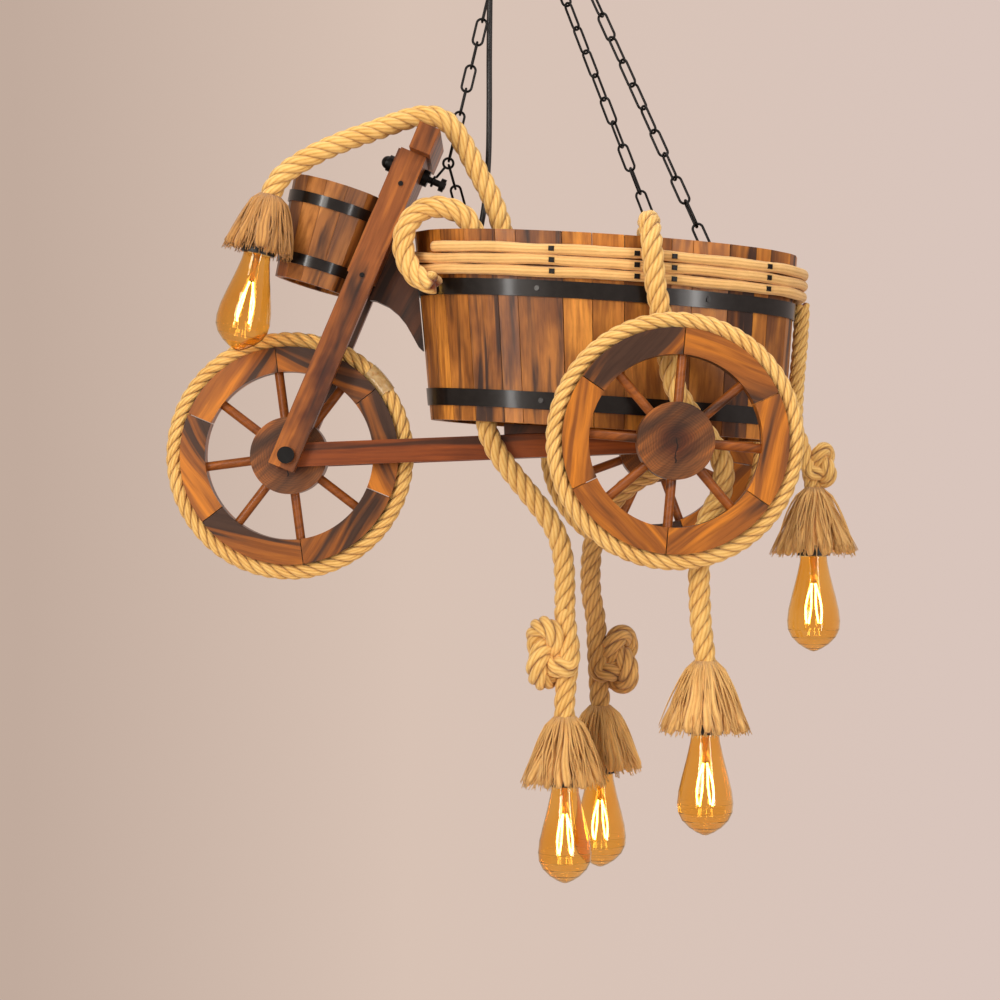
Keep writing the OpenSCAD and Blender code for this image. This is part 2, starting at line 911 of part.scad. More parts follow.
module on_bucket() {
    on_fork()
        on_bucket_wall()
            children();
}

// The space that the bucket and its hoops take up.
module bucket_room() {
    out = 2 * seat + bucket_hoop_t;
    cylinder(h = bucket_h + 1, r1 = bucket_r(0) + out, r2 = bucket_r(bucket_h + 1) + out, $fn = 96);
}

function bucket_r(z) = bucket_low_d / 2 + z * tan(bucket_taper);

module bucket_staves_ring() {
    step = 360 / bucket_staves;
    top = [bucket_h, bucket_r(bucket_h), bucket_r(bucket_h), 0, 0];
    foot = [0, bucket_r(0), bucket_r(0), 0, 0];
    color(wood)
        on_bucket()
            for (i = [0 : bucket_staves - 1])
                stave(i * step + 2 * stave_gap, (i + 1) * step - 2 * stave_gap, top, foot, bucket_t);
}

bucket_board_up = 8;
bucket_board_t = 8;

module bucket_bottom() {
    r = (bucket_r(bucket_board_up) - bucket_t) * cos(180 / bucket_staves) - seat;
    color(dark_wood)
        on_bucket()
            translate([0, 0, bucket_board_up])
                cylinder(h = bucket_board_t, r = r, $fn = 64);
}

bucket_hoop_w = 13;
bucket_hoop_t = 1.5;
bucket_hoops_z = [18, 90];

module bucket_hoops() {
    color(iron)
        on_bucket()
            for (z = bucket_hoops_z)
                let (low = bucket_r(z) + seat, high = bucket_r(z + bucket_hoop_w) + seat)
                    rotate_extrude($fn = 96)
                        polygon([
                            [low, z], [low + bucket_hoop_t, z],
                            [high + bucket_hoop_t, z + bucket_hoop_w], [high, z + bucket_hoop_w]
                        ]);
}

// ---------------------------------------------------------------- wheels

// A wheel is [middle, outer diameter, hub diameter, axle diameter, turn of the first spoke].
front_wheel = [front_axle_at, front_wheel_d, front_hub_d, front_axle_d, 7.5];
near_wheel = [rear_axle_at - [0, track / 2, 0], rear_wheel_d, rear_hub_d, rear_axle_d, -5];
far_wheel = [rear_axle_at + [0, track / 2, 0], rear_wheel_d, rear_hub_d, rear_axle_d, 20];

tyre_bed = 2;         // how deep the rope lies in the rim's groove
spoke_in = 8;         // how deep a spoke goes into the hub and the rim
felloe_gap = 0.25;    // degrees between two felloes
cap_t = 5;            // thickness of a rear hub's closed face
nut_room = 12;        // depth of the room for the axle's nut behind it

function tyre_r(w) = w[1] / 2 - tyre_d / 2;
function rim_r(w) = w[1] / 2 - tyre_d + tyre_bed;

module on_wheel(w) {
    translate(w[0])
        rotate([90, 0, 0])
            children();
}

// Cylinders where the spokes go, wider by the given play.
module spoke_rods(w, from, to, play) {
    for (i = [0 : spoke_count - 1])
        rotate([0, 0, w[4] + 360 * i / spoke_count])
            translate([from, 0, 0])
                rotate([0, 90, 0])
                    cylinder(h = to - from, d = spoke_d + 2 * play, $fn = 32);
}

// out is 0 for an open hub; otherwise 1 or -1, the side of the closed face.
module hub(w, out) {
    color(wood)
        on_wheel(w)
            difference() {
                cylinder(h = hub_t, d = w[2], center = true, $fn = 96);
                if (out == 0)
                    cylinder(h = hub_t + 2, d = w[3] + 2 * run, center = true);
                else {
                    translate([0, 0, -out * cap_t])
                        cylinder(h = hub_t, d = w[3] + 2 * run, center = true);
                    translate([0, 0, out * (hub_t / 2 - cap_t - nut_room / 2)])
                        cylinder(h = nut_room, d = rear_nut_d + 3, center = true);
                }
                spoke_rods(w, w[2] / 2 - spoke_in, w[2] / 2 + 5, fit);
            }
}

module spokes(w) {
    color(wood)
        on_wheel(w)
            spoke_rods(w, w[2] / 2 - spoke_in + fit, rim_r(w) - rim_w + spoke_in - fit, 0);
}

module felloes(w) {
    step = 360 / felloe_count;
    color(wood)
        on_wheel(w)
            difference() {
                for (i = [0 : felloe_count - 1])
                    rotate([0, 0, w[4] + (i + 0.5) * step + felloe_gap])
                        rotate_extrude(angle = step - 2 * felloe_gap, $fn = 96)
                            difference() {
                                translate([rim_r(w) - rim_w, -rim_t / 2])
                                    square([rim_w, rim_t]);
                                translate([tyre_r(w), 0])
                                    circle(d = tyre_d + 2 * seat);
                            }
                spoke_rods(w, rim_r(w) - rim_w - 5, rim_r(w) - rim_w + spoke_in, fit);
            }
}

// The rope laid once round the wheel, its two ends butted.
module tyre_rope(w) {
    color(hemp)
        on_wheel(w)
            rotate([0, 0, 40])
                rotate_extrude(angle = 359.6, $fn = 96)
                    translate([tyre_r(w), 0])
                        circle(d = tyre_d);
}

module front_hub() {
    hub(front_wheel, 0);
}

module front_spokes() {
    spokes(front_wheel);
}

module front_felloes() {
    felloes(front_wheel);
}

module front_tyre_rope() {
    tyre_rope(front_wheel);
}

sleeve_angle = 14;
sleeve_t = 1.2;

// A shiny sleeve over the outside of the rope where its ends meet, clear of the rim.
module tyre_sleeve() {
    color("gold")
        on_wheel(front_wheel)
            rotate([0, 0, 40 - sleeve_angle / 2])
                rotate_extrude(angle = sleeve_angle, $fn = 96)
                    difference() {
                        translate([tyre_r(front_wheel), 0])
                            circle(d = tyre_d + 2 * seat + 2 * sleeve_t);
                        translate([tyre_r(front_wheel), 0])
                            circle(d = tyre_d + 2 * seat);
                        translate([0, -tyre_d])
                            square([rim_r(front_wheel) + seat, 2 * tyre_d]);
                    }
}

module near_hub() {
    hub(near_wheel, 1);
}

module near_spokes() {
    spokes(near_wheel);
}

module near_felloes() {
    felloes(near_wheel);
}

module near_tyre_rope() {
    tyre_rope(near_wheel);
}

module far_hub() {
    hub(far_wheel, -1);
}

module far_spokes() {
    spokes(far_wheel);
}

module far_felloes() {
    felloes(far_wheel);
}

module far_tyre_rope() {
    tyre_rope(far_wheel);
}

front_nut_d = 20;
front_nut_h = 6;

// The bolt through the fork, the beams and the front hub, with its head and its nut.
module front_axle() {
    face = leg_y + leg_t + seat;
    color(iron)
        translate(front_axle_at)
            rotate([90, 0, 0]) {
                cylinder(h = 2 * face + 2 * front_nut_h, d = front_axle_d, center = true);
                for (z = [-face - front_nut_h, face])
                    translate([0, 0, z])
                        cylinder(h = front_nut_h, d = front_nut_d);
            }
}

rear_nut_d = 20;
rear_nut_h = 8;
collar_h = 8;

// The rear axle, through both beams, with a collar inside each wheel.
module rear_axle() {
    inner = track / 2 - hub_t / 2 - 0.4;
    color(iron)
        translate(rear_axle_at)
            rotate([90, 0, 0]) {
                cylinder(h = track + hub_t - 2 * cap_t - 3, d = rear_axle_d, center = true);
                for (z = [-inner, inner - collar_h])
                    translate([0, 0, z])
                        cylinder(h = collar_h, d = rear_axle_d + 10);
            }
}

// A nut on each end of the rear axle, inside the hub's room.
module rear_axle_nuts() {
    out = track / 2 + hub_t / 2 - cap_t - nut_room + 1;
    color("silver")
        translate(rear_axle_at)
            rotate([90, 0, 0])
                for (z = [-out - rear_nut_h, out])
                    translate([0, 0, z])
                        difference() {
                            cylinder(h = rear_nut_h, d = rear_nut_d);
                            translate([0, 0, -1])
                                cylinder(h = rear_nut_h + 2, d = rear_axle_d + 2 * run);
                        }
}

// ---------------------------------------------------------------- lamps

// A lamp is the middle of its holder's lower edge and how far its foot swings forward, in degrees.
lamps = [
    [[-309, -60, -413], 12], [[53, -30, -1041], 0], [[99, 70, -1037], 0], [[209, -150, -967], 0],
    [[355, 20, -769], 0]
];
rope_end = holder_h + seat;
skirt_up = 2;         // height of a skirt's lower edge above the holder's
function over_lamp(i, h) = lamps[i][0] + h * [sin(lamps[i][1]), 0, cos(lamps[i][1])];

// A knot is [middle, outer diameter, height, diameter of its rope].
knots = [
    [[53, -31, -884], 64, 86, rope_d], [[98, 70, -898], 62, 76, rope_d],
    [[350, 20, -661], 44, 58, rear_rope_d]
];

// Each rope's route; its last point is on top of the lamp holder.
head_route = [
    [-8, -32, -590.8], [-8, -32, -540], [-10, -31, -485], [-14, -28, -430], [-20, -25, -385],
    [-33, -24, -345], [-50, -24, -312], [-66, -24, -281], [-82, -24, -257], [-97, -24, -247],
    [-114, -25, -245], [-135, -30, -250], [-158, -36, -259], [-182, -44, -269], [-206, -52, -279],
    [-236, -59, -293], [-260, -62, -307], [-278, -62, -320], [-289, -61, -335],
    over_lamp(0, skirt_up + head_skirt_h), over_lamp(0, rope_end)
];
front_route = [
    [-40, -47.8, -580], [-40, -47.8, -604], [-38, -49, -622], [-27, -49.8, -646],
    [-8, -49.6, -672], [13, -47, -698], [33, -44, -724], [46, -40, -750], [52, -36, -783], [53, -33, -825],
    [53, -31, -875], [53, -30, -930], [53, -30, -970], over_lamp(1, rope_end)
];
far_route = [
    [200, 65, -590], [200, 65, -618], [195, 66, -638], [184, 68, -655], [165, 70, -668],
    [143, 70, -679], [121, 70, -697], [103, 70, -719], [93, 70, -744], [88, 70, -775],
    [88, 70, -815], [94, 70, -860], [98, 70, -900], [99, 70, -935], [99, 70, -970],
    over_lamp(2, rope_end)
];
side_route = [
    [147, -90, -445], [147, -90, -418], [147, -92.5, -402], [147, -101, -387], [147, -112, -381.5],
    [147, -124, -382], [147, -137, -388], [148, -147, -402], [149, -152, -419], [151, -152, -440], [153, -151, -460],
    [157, -150.5, -480], [161, -150.5, -505], [166, -150.5, -535], [172, -150.5, -566],
    [184, -150.5, -592], [204, -150.5, -620], [222, -150.5, -645], [230, -150.5, -670],
    [226, -150.5, -696], [213, -150.5, -722], [204, -150, -752], [202, -150, -787],
    [204, -150, -840], [209, -150, -885], over_lamp(3, rope_end)
];
rear_route = [
    [341, 20, -466], [340, 20, -492], [338, 20, -522], [335, 20, -556], [333, 20, -592],
    [334, 20, -622], [342, 20, -645], [353, 20, -670], [355, 20, -688], over_lamp(4, rope_end)
];
cord_route = [
    [-36, 24, -cup_h - gland_h + 6], [-36, 24, -70], [-36.5, 24, -110], [-37, 23, -170],
    [-37, 22, -230], [-38, 21, -290], [-42, 20, -340], [-49, 22, -380], [-60, 28, -420],
    [-68, 30, -470], [-69, 24, -515], [-62, 12, -547], [-47, 4, -566], [-30, 0, -574.6],
    [-18, 0, -576], [-6, 0, -576.9], [3, 0, -577.4]
];

// A knot's outer shape round its rope.
module knot(k) {
    steps = 8;
    outline = [for (i = [0 : steps]) let (t = 180 * i / steps)
        [k[3] / 2 + (k[1] - k[3]) / 2 * pow(sin(t), 0.6), k[2] / 2 * cos(t)]];
    translate(k[0])
        rotate_extrude()
            polygon(concat([[0, k[2] / 2]], outline, [[0, -k[2] / 2]]));
}

module rope_head() {
    color(hemp)
        tube(head_route, rope_d);
}

module rope_front_drop() {
    color(hemp) {
        tube(front_route, rope_d);
        knot(knots[0]);
    }
}

module rope_far_drop() {
    color(hemp) {
        tube(far_route, rope_d);
        knot(knots[1]);
    }
}

module rope_side_drop() {
    color(hemp)
        tube(side_route, rope_d, [1, 0, 0]);
}

module rope_rear_drop() {
    color(hemp) {
        tube(rear_route, rear_rope_d);
        knot(knots[2]);
    }
}

module power_cord() {
    color(iron)
        tube(cord_route, cord_d, [0, 1, 0], 8);
}

module on_lamp(i) {
    translate(lamps[i][0])
        rotate([0, lamps[i][1], 0])
            children();
}

// The frayed rope end, flared over the holder from a neck on the rope.
module rope_skirts() {
    for (i = [0 : len(lamps) - 1])
        let (
            neck = (i == 4 ? rear_rope_d : rope_d) / 2 + seat,
            low = (i == 0 ? head_skirt_d : skirt_d) / 2,
            high = skirt_up + (i == 0 ? head_skirt_h : skirt_h),
            shoulder = holder_h + seat
        )
            color(hemp)
                on_lamp(i)
                    rotate_extrude($fn = 48)
                        polygon([
                            [neck, high], [neck + skirt_t / 2, high],
                            [low, skirt_up], [low - skirt_t, skirt_up],
                            [holder_d / 2 + seat, shoulder - 6], [holder_d / 2 + seat, shoulder + seat]
                        ]);
}

holder_bore = 34;
cap_h = 27;

module lamp_holders() {
    color(iron)
        for (i = [0 : len(lamps) - 1])
            on_lamp(i)
                difference() {
                    cylinder(h = holder_h, d = holder_d);
                    translate([0, 0, -1])
                        cylinder(h = holder_bore + 1, d = cap_d + 2 * run);
                }
}

module bulb_caps() {
    color("silver")
        for (i = [0 : len(lamps) - 1])
            on_lamp(i) {
                cylinder(h = cap_h - 5, d = cap_d);
                cylinder(h = cap_h, d = cap_d / 2);
            }
}

// The glass's outline: each point is a share of its radius and of its length.
bulb_outline = [
    [0.5, 0], [0.53, 0.08], [0.66, 0.24], [0.83, 0.42], [0.95, 0.56], [1, 0.68], [0.97, 0.77],
    [0.83, 0.85], [0.58, 0.92], [0.33, 0.965], [0.14, 0.99], [0, 1]
];

module bulb_solid(d, long) {
    rotate_extrude($fn = 40)
        polygon(concat([[0, 0]], [for (q = bulb_outline) [q[0] * d / 2, -q[1] * long]]));
}

module bulb_glasses() {
    color("#e8a03c", 0.6)
        for (i = [0 : len(lamps) - 1])
            on_lamp(i)
                translate([0, 0, -seat])
                    difference() {
                        bulb_solid(bulb_d, bulb_len - seat);
                        translate([0, 0, -glass_t])
                            bulb_solid(bulb_d - 2 * glass_t, bulb_len - seat - 2 * glass_t);
                    }
}

// ---------------------------------------------------------------- assembly

ceiling_cup();
mounting_bar();
cup_screws();
chain_hooks();
cord_gland();
power_cord();
front_chain();
neck_chain();
near_rear_chain();
far_rear_chain();
tub_staves();
tub_bottom();
tub_hoops();
hoop_rivets();
tub_eyes();
rim_winding();
winding_pins();
front_loop();
wiring_box();
box_lid();
near_beam();
far_beam();
front_bolster();
rear_bolster();
frame_nails();
near_fork_leg();
far_fork_leg();
head_block();
handlebar();
head_bolt();
chain_hanger();
neck_board();
bucket_staves_ring();
bucket_bottom();
bucket_hoops();
front_axle();
front_hub();
front_spokes();
front_felloes();
front_tyre_rope();
tyre_sleeve();
rear_axle();
rear_axle_nuts();
near_hub();
near_spokes();
near_felloes();
near_tyre_rope();
far_hub();
far_spokes();
far_felloes();
far_tyre_rope();
rope_head();
rope_front_drop();
rope_far_drop();
rope_side_drop();
rope_rear_drop();
rope_skirts();
lamp_holders();
bulb_caps();
bulb_glasses();
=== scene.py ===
import json
import math
import random
from collections import namedtuple
import bpy
import numpy as np
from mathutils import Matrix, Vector

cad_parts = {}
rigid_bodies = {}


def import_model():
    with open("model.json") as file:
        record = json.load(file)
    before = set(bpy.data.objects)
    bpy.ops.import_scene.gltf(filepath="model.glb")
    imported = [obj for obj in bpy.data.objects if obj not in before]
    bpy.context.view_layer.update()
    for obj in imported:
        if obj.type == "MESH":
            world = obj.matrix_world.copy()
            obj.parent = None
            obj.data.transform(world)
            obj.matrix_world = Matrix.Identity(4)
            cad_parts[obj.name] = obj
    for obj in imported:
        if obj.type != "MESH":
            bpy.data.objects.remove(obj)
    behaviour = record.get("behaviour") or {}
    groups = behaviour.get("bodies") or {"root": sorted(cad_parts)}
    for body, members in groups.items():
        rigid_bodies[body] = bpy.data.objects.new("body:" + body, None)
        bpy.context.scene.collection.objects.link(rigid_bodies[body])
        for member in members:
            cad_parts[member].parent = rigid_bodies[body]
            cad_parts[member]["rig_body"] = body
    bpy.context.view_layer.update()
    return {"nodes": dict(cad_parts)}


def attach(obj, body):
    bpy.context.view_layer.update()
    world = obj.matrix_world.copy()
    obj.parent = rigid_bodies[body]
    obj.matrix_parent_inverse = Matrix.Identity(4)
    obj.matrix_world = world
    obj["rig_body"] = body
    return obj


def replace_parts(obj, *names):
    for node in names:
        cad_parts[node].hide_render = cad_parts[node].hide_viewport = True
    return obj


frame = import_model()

nodes = frame["nodes"]
scene = bpy.context.scene
scene.view_settings.view_transform = "Standard"
rng = random.Random(7)

MM = 0.001
TURN = 2 * math.pi

# Sizes shared with the solids, in millimetres and radians
TUB_AT = (103, 0, -396.8)  # the middle of the rim
TUB_LEAN = math.radians(3.7)
TUB_HALF_LENGTH, TUB_HALF_WIDTH = 230, 125
TUB_HEIGHT, TUB_FLARE, TUB_SET_BACK = 222, 18, 16
TUB_STAVES = 34
HOOPS = ((-57, -76), (-185, -205))  # upper and lower edge, from the rim
BUCKET_AT = (-249.7, 0, -446.1)
BUCKET_LEAN = math.radians(16.8)
BUCKET_STAVES = 14
FORK_LEAN = math.radians(22.9)
FELLOES = 6
TYRE_ROPE = 20
Wheel = namedtuple("Wheel", "at first_felloe tyre body")  # first_felloe is an angle in degrees
WHEELS = {
    "front": Wheel((-276, 0, -649), 7.5, 297, "front_wheel"),
    "near": Wheel((172, -185, -636), -5, 290, "rear_wheel_near"),
    "far": Wheel((172, 185, -636), 20, 290, "rear_wheel_far"),
}

# ---------------------------------------------------------------- camera

cam_data = bpy.data.cameras.new("camera")
cam = bpy.data.objects.new("camera", cam_data)
scene.collection.objects.link(cam)
cam.location = (-0.024, -2.8, -0.702)
cam.rotation_euler = (math.pi / 2, 0, 0)
cam_data.sensor_width = 36
cam_data.lens = 84
scene.camera = cam

# ---------------------------------------------------------------- shader nodes


def srgb(r, g, b):
    """A colour from its values of 0 to 255 on screen."""
    def lin(c):
        c /= 255
        return c / 12.92 if c <= 0.04045 else ((c + 0.055) / 1.055) ** 2.4
    return (lin(r), lin(g), lin(b), 1)


WHITE = (1, 1, 1)


class Nodes:
    """Short calls for the nodes of one tree. A value is a number, a tuple or another node's output."""

    def __init__(self, tree):
        self.t = tree

    def node(self, kind, **sets):
        n = self.t.nodes.new(kind)
        for k, v in sets.items():
            setattr(n, k, v)
        return n

    def put(self, target, value):
        if isinstance(value, bpy.types.NodeSocket):
            self.t.links.new(value, target)
        else:
            target.default_value = value

    def math(self, op, a, b=0.0, c=0.0):
        n = self.node("ShaderNodeMath", operation=op)
        for i, v in enumerate((a, b, c)):
            self.put(n.inputs[i], v)
        return n.outputs[0]

    def add(self, a, b):
        return self.math("ADD", a, b)

    def sub(self, a, b):
        return self.math("SUBTRACT", a, b)

    def mul(self, a, b):
        return self.math("MULTIPLY", a, b)

    def div(self, a, b):
        return self.math("DIVIDE", a, b)

    def vec(self, op, a, b):
        n = self.node("ShaderNodeVectorMath", operation=op)
        self.put(n.inputs[0], a)
        self.put(n.inputs[1], b)
        return n.outputs[0]

    def parts(self, vec):
        n = self.node("ShaderNodeSeparateXYZ")
        self.put(n.inputs[0], vec)
        return n.outputs

    def join(self, x, y, z):
        n = self.node("ShaderNodeCombineXYZ")
        for i, v in enumerate((x, y, z)):
            self.put(n.inputs[i], v)
        return n.outputs[0]

    def ramp(self, fac, stops):
        n = self.node("ShaderNodeValToRGB")
        els = n.color_ramp.elements
        while len(els) < len(stops):
            els.new(0.5)
        for e, (p, c) in zip(els, stops):
            e.position = p
            e.color = c if len(c) == 4 else (*c, 1)
        self.put(n.inputs[0], fac)
        return n.outputs[0]

    def mix(self, fac, a, b, blend="MIX"):
        n = self.node("ShaderNodeMix", data_type="RGBA", blend_type=blend)
        self.put(n.inputs["Factor"], fac)
        ins = [s for s in n.inputs if s.type == "RGBA"]
        self.put(ins[0], a)
        self.put(ins[1], b)
        return [s for s in n.outputs if s.type == "RGBA"][0]

    def noise(self, vec, scale, detail, rough, distort=0.0, along=1.0):
        """Noise, drawn out along X where along is under 1."""
        if along != 1:
            vec = self.vec("MULTIPLY", vec, (along, 1, 1))
        n = self.node("ShaderNodeTexNoise")
        self.put(n.inputs["Vector"], vec)
        n.inputs["Scale"].default_value = scale
        n.inputs["Detail"].default_value = detail
        n.inputs["Roughness"].default_value = rough
        n.inputs["Distortion"].default_value = distort
        return n.outputs["Fac"]

    def chance(self, number):
        """A number from 0 to 1 that looks random, always the same one for the same number given."""
        n = self.node("ShaderNodeTexWhiteNoise", noise_dimensions="1D")
        self.put(n.inputs["W"], number)
        return n.outputs["Value"]

    def coords(self, centre=(0, 0, 0), turn=0.0):
        """Object coordinates from a centre in millimetres, turned about Y."""
        c = self.node("ShaderNodeTexCoord")
        v = self.vec("SUBTRACT", c.outputs["Object"], tuple(p * MM for p in centre))
        if turn:
            r = self.node("ShaderNodeVectorRotate", rotation_type="Y_AXIS")
            self.put(r.inputs["Vector"], v)
            r.inputs["Angle"].default_value = turn
            v = r.outputs[0]
        return v


class Mat(Nodes):
    """A material."""

    def __init__(self, name):
        self.m = bpy.data.materials.new(name)
        self.m.use_nodes = True
        super().__init__(self.m.node_tree)
        self.surface = self.t.nodes["Principled BSDF"].inputs

    def set(self, values):
        """Set inputs of the surface by their names."""
        for name, value in values.items():
            self.put(self.surface[name], value)

    def bump(self, height, strength, dist):
        n = self.node("ShaderNodeBump")
        n.inputs["Strength"].default_value = strength
        n.inputs["Distance"].default_value = dist
        self.put(n.inputs["Height"], height)
        self.set({"Normal": n.outputs[0]})

    def mottle(self, scale, detail, rough, one, other):
        """A noise, and a colour that goes with it from one to the other."""
        n = self.noise(self.coords(), scale, detail, rough)
        return n, self.ramp(n, [(0.3, one), (0.7, other)])


# ---------------------------------------------------------------- wood

VARNISH = {"Specular IOR Level": 0.3, "Coat Weight": 0.1, "Coat Roughness": 0.25}


def wood(name, light, mid, dark, coords_of, bands, wander, dark_at, vary=0.45, fine=190, bold=0.42, smoke=0.0):
    """Varnished burnt wood.

    coords_of gives coordinates whose X runs along the grain, and a chance for each piece. bands and fine
    are the scales of the figure and of the grain lines, and bold is the figure's share of the tone. wander
    says how far the figure bends, dark_at at which tone the dark colour begins, vary how much the pieces
    differ and smoke how strong the burnt clouds are.
    """
    m = Mat(name)
    v, piece = coords_of(m)
    v = m.vec("ADD", v, m.join(*(m.mul(piece, k) for k in (3.1, 7.7, 5.3))))
    bend = m.sub(m.noise(v, 9, 2, 0.5, along=0.6), 0.5)
    v = m.vec("ADD", v, m.join(0, 0, m.mul(bend, 0.006 * wander)))
    band = m.math("MULTIPLY_ADD", m.noise(v, bands * 2.2, 2, 0.5, 0.7, along=0.06), 3.2, -1.1)
    streak = m.noise(v, fine, 5, 0.65, along=0.05)
    broad = m.noise(v, 22, 4, 0.6, along=0.25)
    tone = m.add(m.mul(band, bold), m.mul(broad, 1.0 - bold))
    tone = m.add(tone, m.mul(m.sub(piece, 0.5), vary * 0.5))
    col = m.ramp(tone, [(0.18, light), (0.42, mid), (dark_at, mid), (min(dark_at + 0.2, 0.97), dark)])
    col = m.mix(0.55, col, m.ramp(streak, [(0.38, (0.42, 0.34, 0.28)), (0.56, WHITE)]), "MULTIPLY")
    if smoke:
        cloud = m.noise(v, 11, 4, 0.62, along=0.45)
        col = m.mix(smoke, col, m.ramp(cloud, [(0.46, WHITE), (0.62, srgb(112, 78, 58))]), "MULTIPLY")
    m.set({"Base Color": col, "Roughness": m.add(m.mul(streak, 0.25), 0.3), **VARNISH})
    m.bump(m.add(m.mul(streak, 0.7), m.mul(tone, -0.5)), 0.25, 0.0012)
    return m.m


def felloe_coords(wheel):
    """Coordinates for a rim, X along each felloe's own plank, with a chance for each felloe."""
    def make(m):
        x, y, z = m.parts(m.coords(wheel.at))
        theta = m.math("ARCTAN2", z, x)
        start = math.radians(wheel.first_felloe + 30) - TURN
        number = m.math("FLOOR", m.div(m.sub(theta, start), TURN / FELLOES))
        number = m.math("FLOORED_MODULO", number, FELLOES)
        piece = m.chance(m.add(m.mul(number, 1.7), wheel.first_felloe + 0.31))
        tilt = m.mul(m.sub(piece, 0.5), 0.9)
        mid = m.add(m.add(m.mul(m.add(number, 0.5), TURN / FELLOES), start), tilt)
        sin, cos = m.math("SINE", mid), m.math("COSINE", mid)
        along = m.sub(m.mul(z, cos), m.mul(x, sin))
        out = m.add(m.mul(x, cos), m.mul(z, sin))
        return m.join(along, y, out), piece
    return make


def straight(turn=0.0):
    """Coordinates turned about Y, with one chance for all."""
    def make(m):
        return m.coords(turn=turn), m.chance(turn)
    return make


def stave_coords(m):
    """Coordinates for the tub's staves, X up the stave, with a chance for each stave."""
    dx, y, dz = m.parts(m.coords(TUB_AT))
    sin, cos = math.sin(TUB_LEAN), math.cos(TUB_LEAN)
    x = m.sub(m.mul(dx, cos), m.mul(dz, sin))
    z = m.add(m.mul(dx, sin), m.mul(dz, cos))
    grow = m.mul(z, TUB_FLARE / TUB_HEIGHT)
    half_length, half_width = m.add(grow, TUB_HALF_LENGTH * MM), m.add(grow, TUB_HALF_WIDTH * MM)
    px = m.div(m.add(x, m.mul(z, TUB_SET_BACK / TUB_HEIGHT)), half_length)
    place = m.mul(m.math("ARCTAN2", m.div(y, half_width), px), TUB_STAVES / TURN)
    place = m.math("FLOORED_MODULO", place, TUB_STAVES)
    # Each joint between two staves lies a little off its even place, as in the solids
    edge = m.math("ROUND", place)
    joint = m.add(edge, m.mul(m.math("SINE", m.mul(edge, math.radians(137))), 0.2))
    stave = m.add(m.sub(edge, 1), m.math("GREATER_THAN", place, joint))
    stave = m.math("FLOORED_MODULO", stave, TUB_STAVES)
    piece = m.chance(m.add(m.mul(stave, 3.3), 0.7))
    return m.join(z, y, m.sub(x, y)), piece


def bucket_coords(m):
    """Coordinates for the bucket's staves, X up the stave, with a chance for each stave."""
    x, y, z = m.parts(m.coords(BUCKET_AT, math.pi / 2 - BUCKET_LEAN))
    place = m.mul(m.math("ARCTAN2", y, m.mul(z, -1)), BUCKET_STAVES / TURN)
    piece = m.chance(m.add(m.mul(m.math("FLOOR", place), 2.9), 0.4))
    return m.join(x, y, m.sub(z, y)), piece


def hub_wood(name, centre):
    """The turned face of a hub: faint rings, a dark heart and a crack near the middle."""
    m = Mat(name)
    v = m.coords(centre, math.radians(38))
    wob = m.noise(v, 26, 3, 0.5)
    dist = m.node("ShaderNodeVectorMath", operation="LENGTH")
    m.put(dist.inputs[0], m.vec("MULTIPLY", v, (1, 0, 1)))
    away = m.add(dist.outputs["Value"], m.mul(wob, 0.016))
    heart = [(0.1, srgb(66, 42, 30)), (0.2, srgb(160, 112, 80)), (0.36, WHITE)]
    rings = m.math("SINE", m.mul(away, 2300))
    band = m.noise(v, 60, 3, 0.5, 0.7, along=0.12)
    streak = m.noise(v, 190, 4, 0.6, along=0.08)
    tone = m.add(m.math("MULTIPLY_ADD", band, 1.5, -0.48), m.mul(wob, 0.4))
    tone = m.add(tone, m.mul(rings, 0.05))
    base = m.ramp(tone, [(0.16, srgb(172, 98, 38)), (0.4, srgb(116, 68, 32)), (0.72, srgb(70, 42, 24))])
    base = m.mix(0.6, base, m.ramp(streak, [(0.4, (0.46, 0.4, 0.34)), (0.56, WHITE)]), "MULTIPLY")
    base = m.mix(0.8, base, m.ramp(m.mul(away, 10), heart), "MULTIPLY")
    upright = m.coords(centre)
    x, _, z = m.parts(upright)
    bend = m.mul(m.sub(m.noise(upright, 55, 3, 0.5), 0.5), 0.016)
    across = m.math("ABSOLUTE", m.add(x, bend))
    crack = m.ramp(m.mul(across, 100), [(0.04, (0.03, 0.02, 0.015)), (0.13, WHITE)])
    reach = m.math("LESS_THAN", m.math("ABSOLUTE", m.add(z, 0.011)), 0.014)
    base = m.mix(reach, base, m.mix(1.0, base, crack, "MULTIPLY"))
    m.set({"Base Color": base, "Roughness": 0.42, **VARNISH})
    m.bump(streak, 0.25, 0.001)
    return m.m


mat_staves = wood("stave_wood", srgb(226, 148, 58), srgb(184, 114, 44), srgb(78, 45, 24), stave_coords,
                  bands=30, wander=3, dark_at=0.56, vary=0.7, bold=0.36, smoke=0.7)
mat_fork = wood("fork_wood", srgb(190, 110, 38), srgb(146, 80, 28), srgb(54, 29, 12),
                straight(math.pi / 2 - FORK_LEAN),
                bands=24, wander=2, dark_at=0.54, vary=0.25, bold=0.5, smoke=0.9)
mat_beam = wood("beam_wood", srgb(168, 80, 10), srgb(134, 62, 8), srgb(72, 34, 6), straight(),
                bands=26, wander=2, dark_at=0.62, vary=0.2, bold=0.5, smoke=0.2)
mat_bucket = wood("bucket_wood", srgb(196, 128, 62), srgb(158, 98, 44), srgb(80, 48, 26), bucket_coords,
                  bands=26, wander=3, dark_at=0.62, vary=0.6, bold=0.4, smoke=0.5)
mat_dark = wood("dark_wood", srgb(100, 54, 24), srgb(76, 40, 17), srgb(36, 19, 10), straight(math.radians(60)),
                bands=26, wander=3, dark_at=0.5)
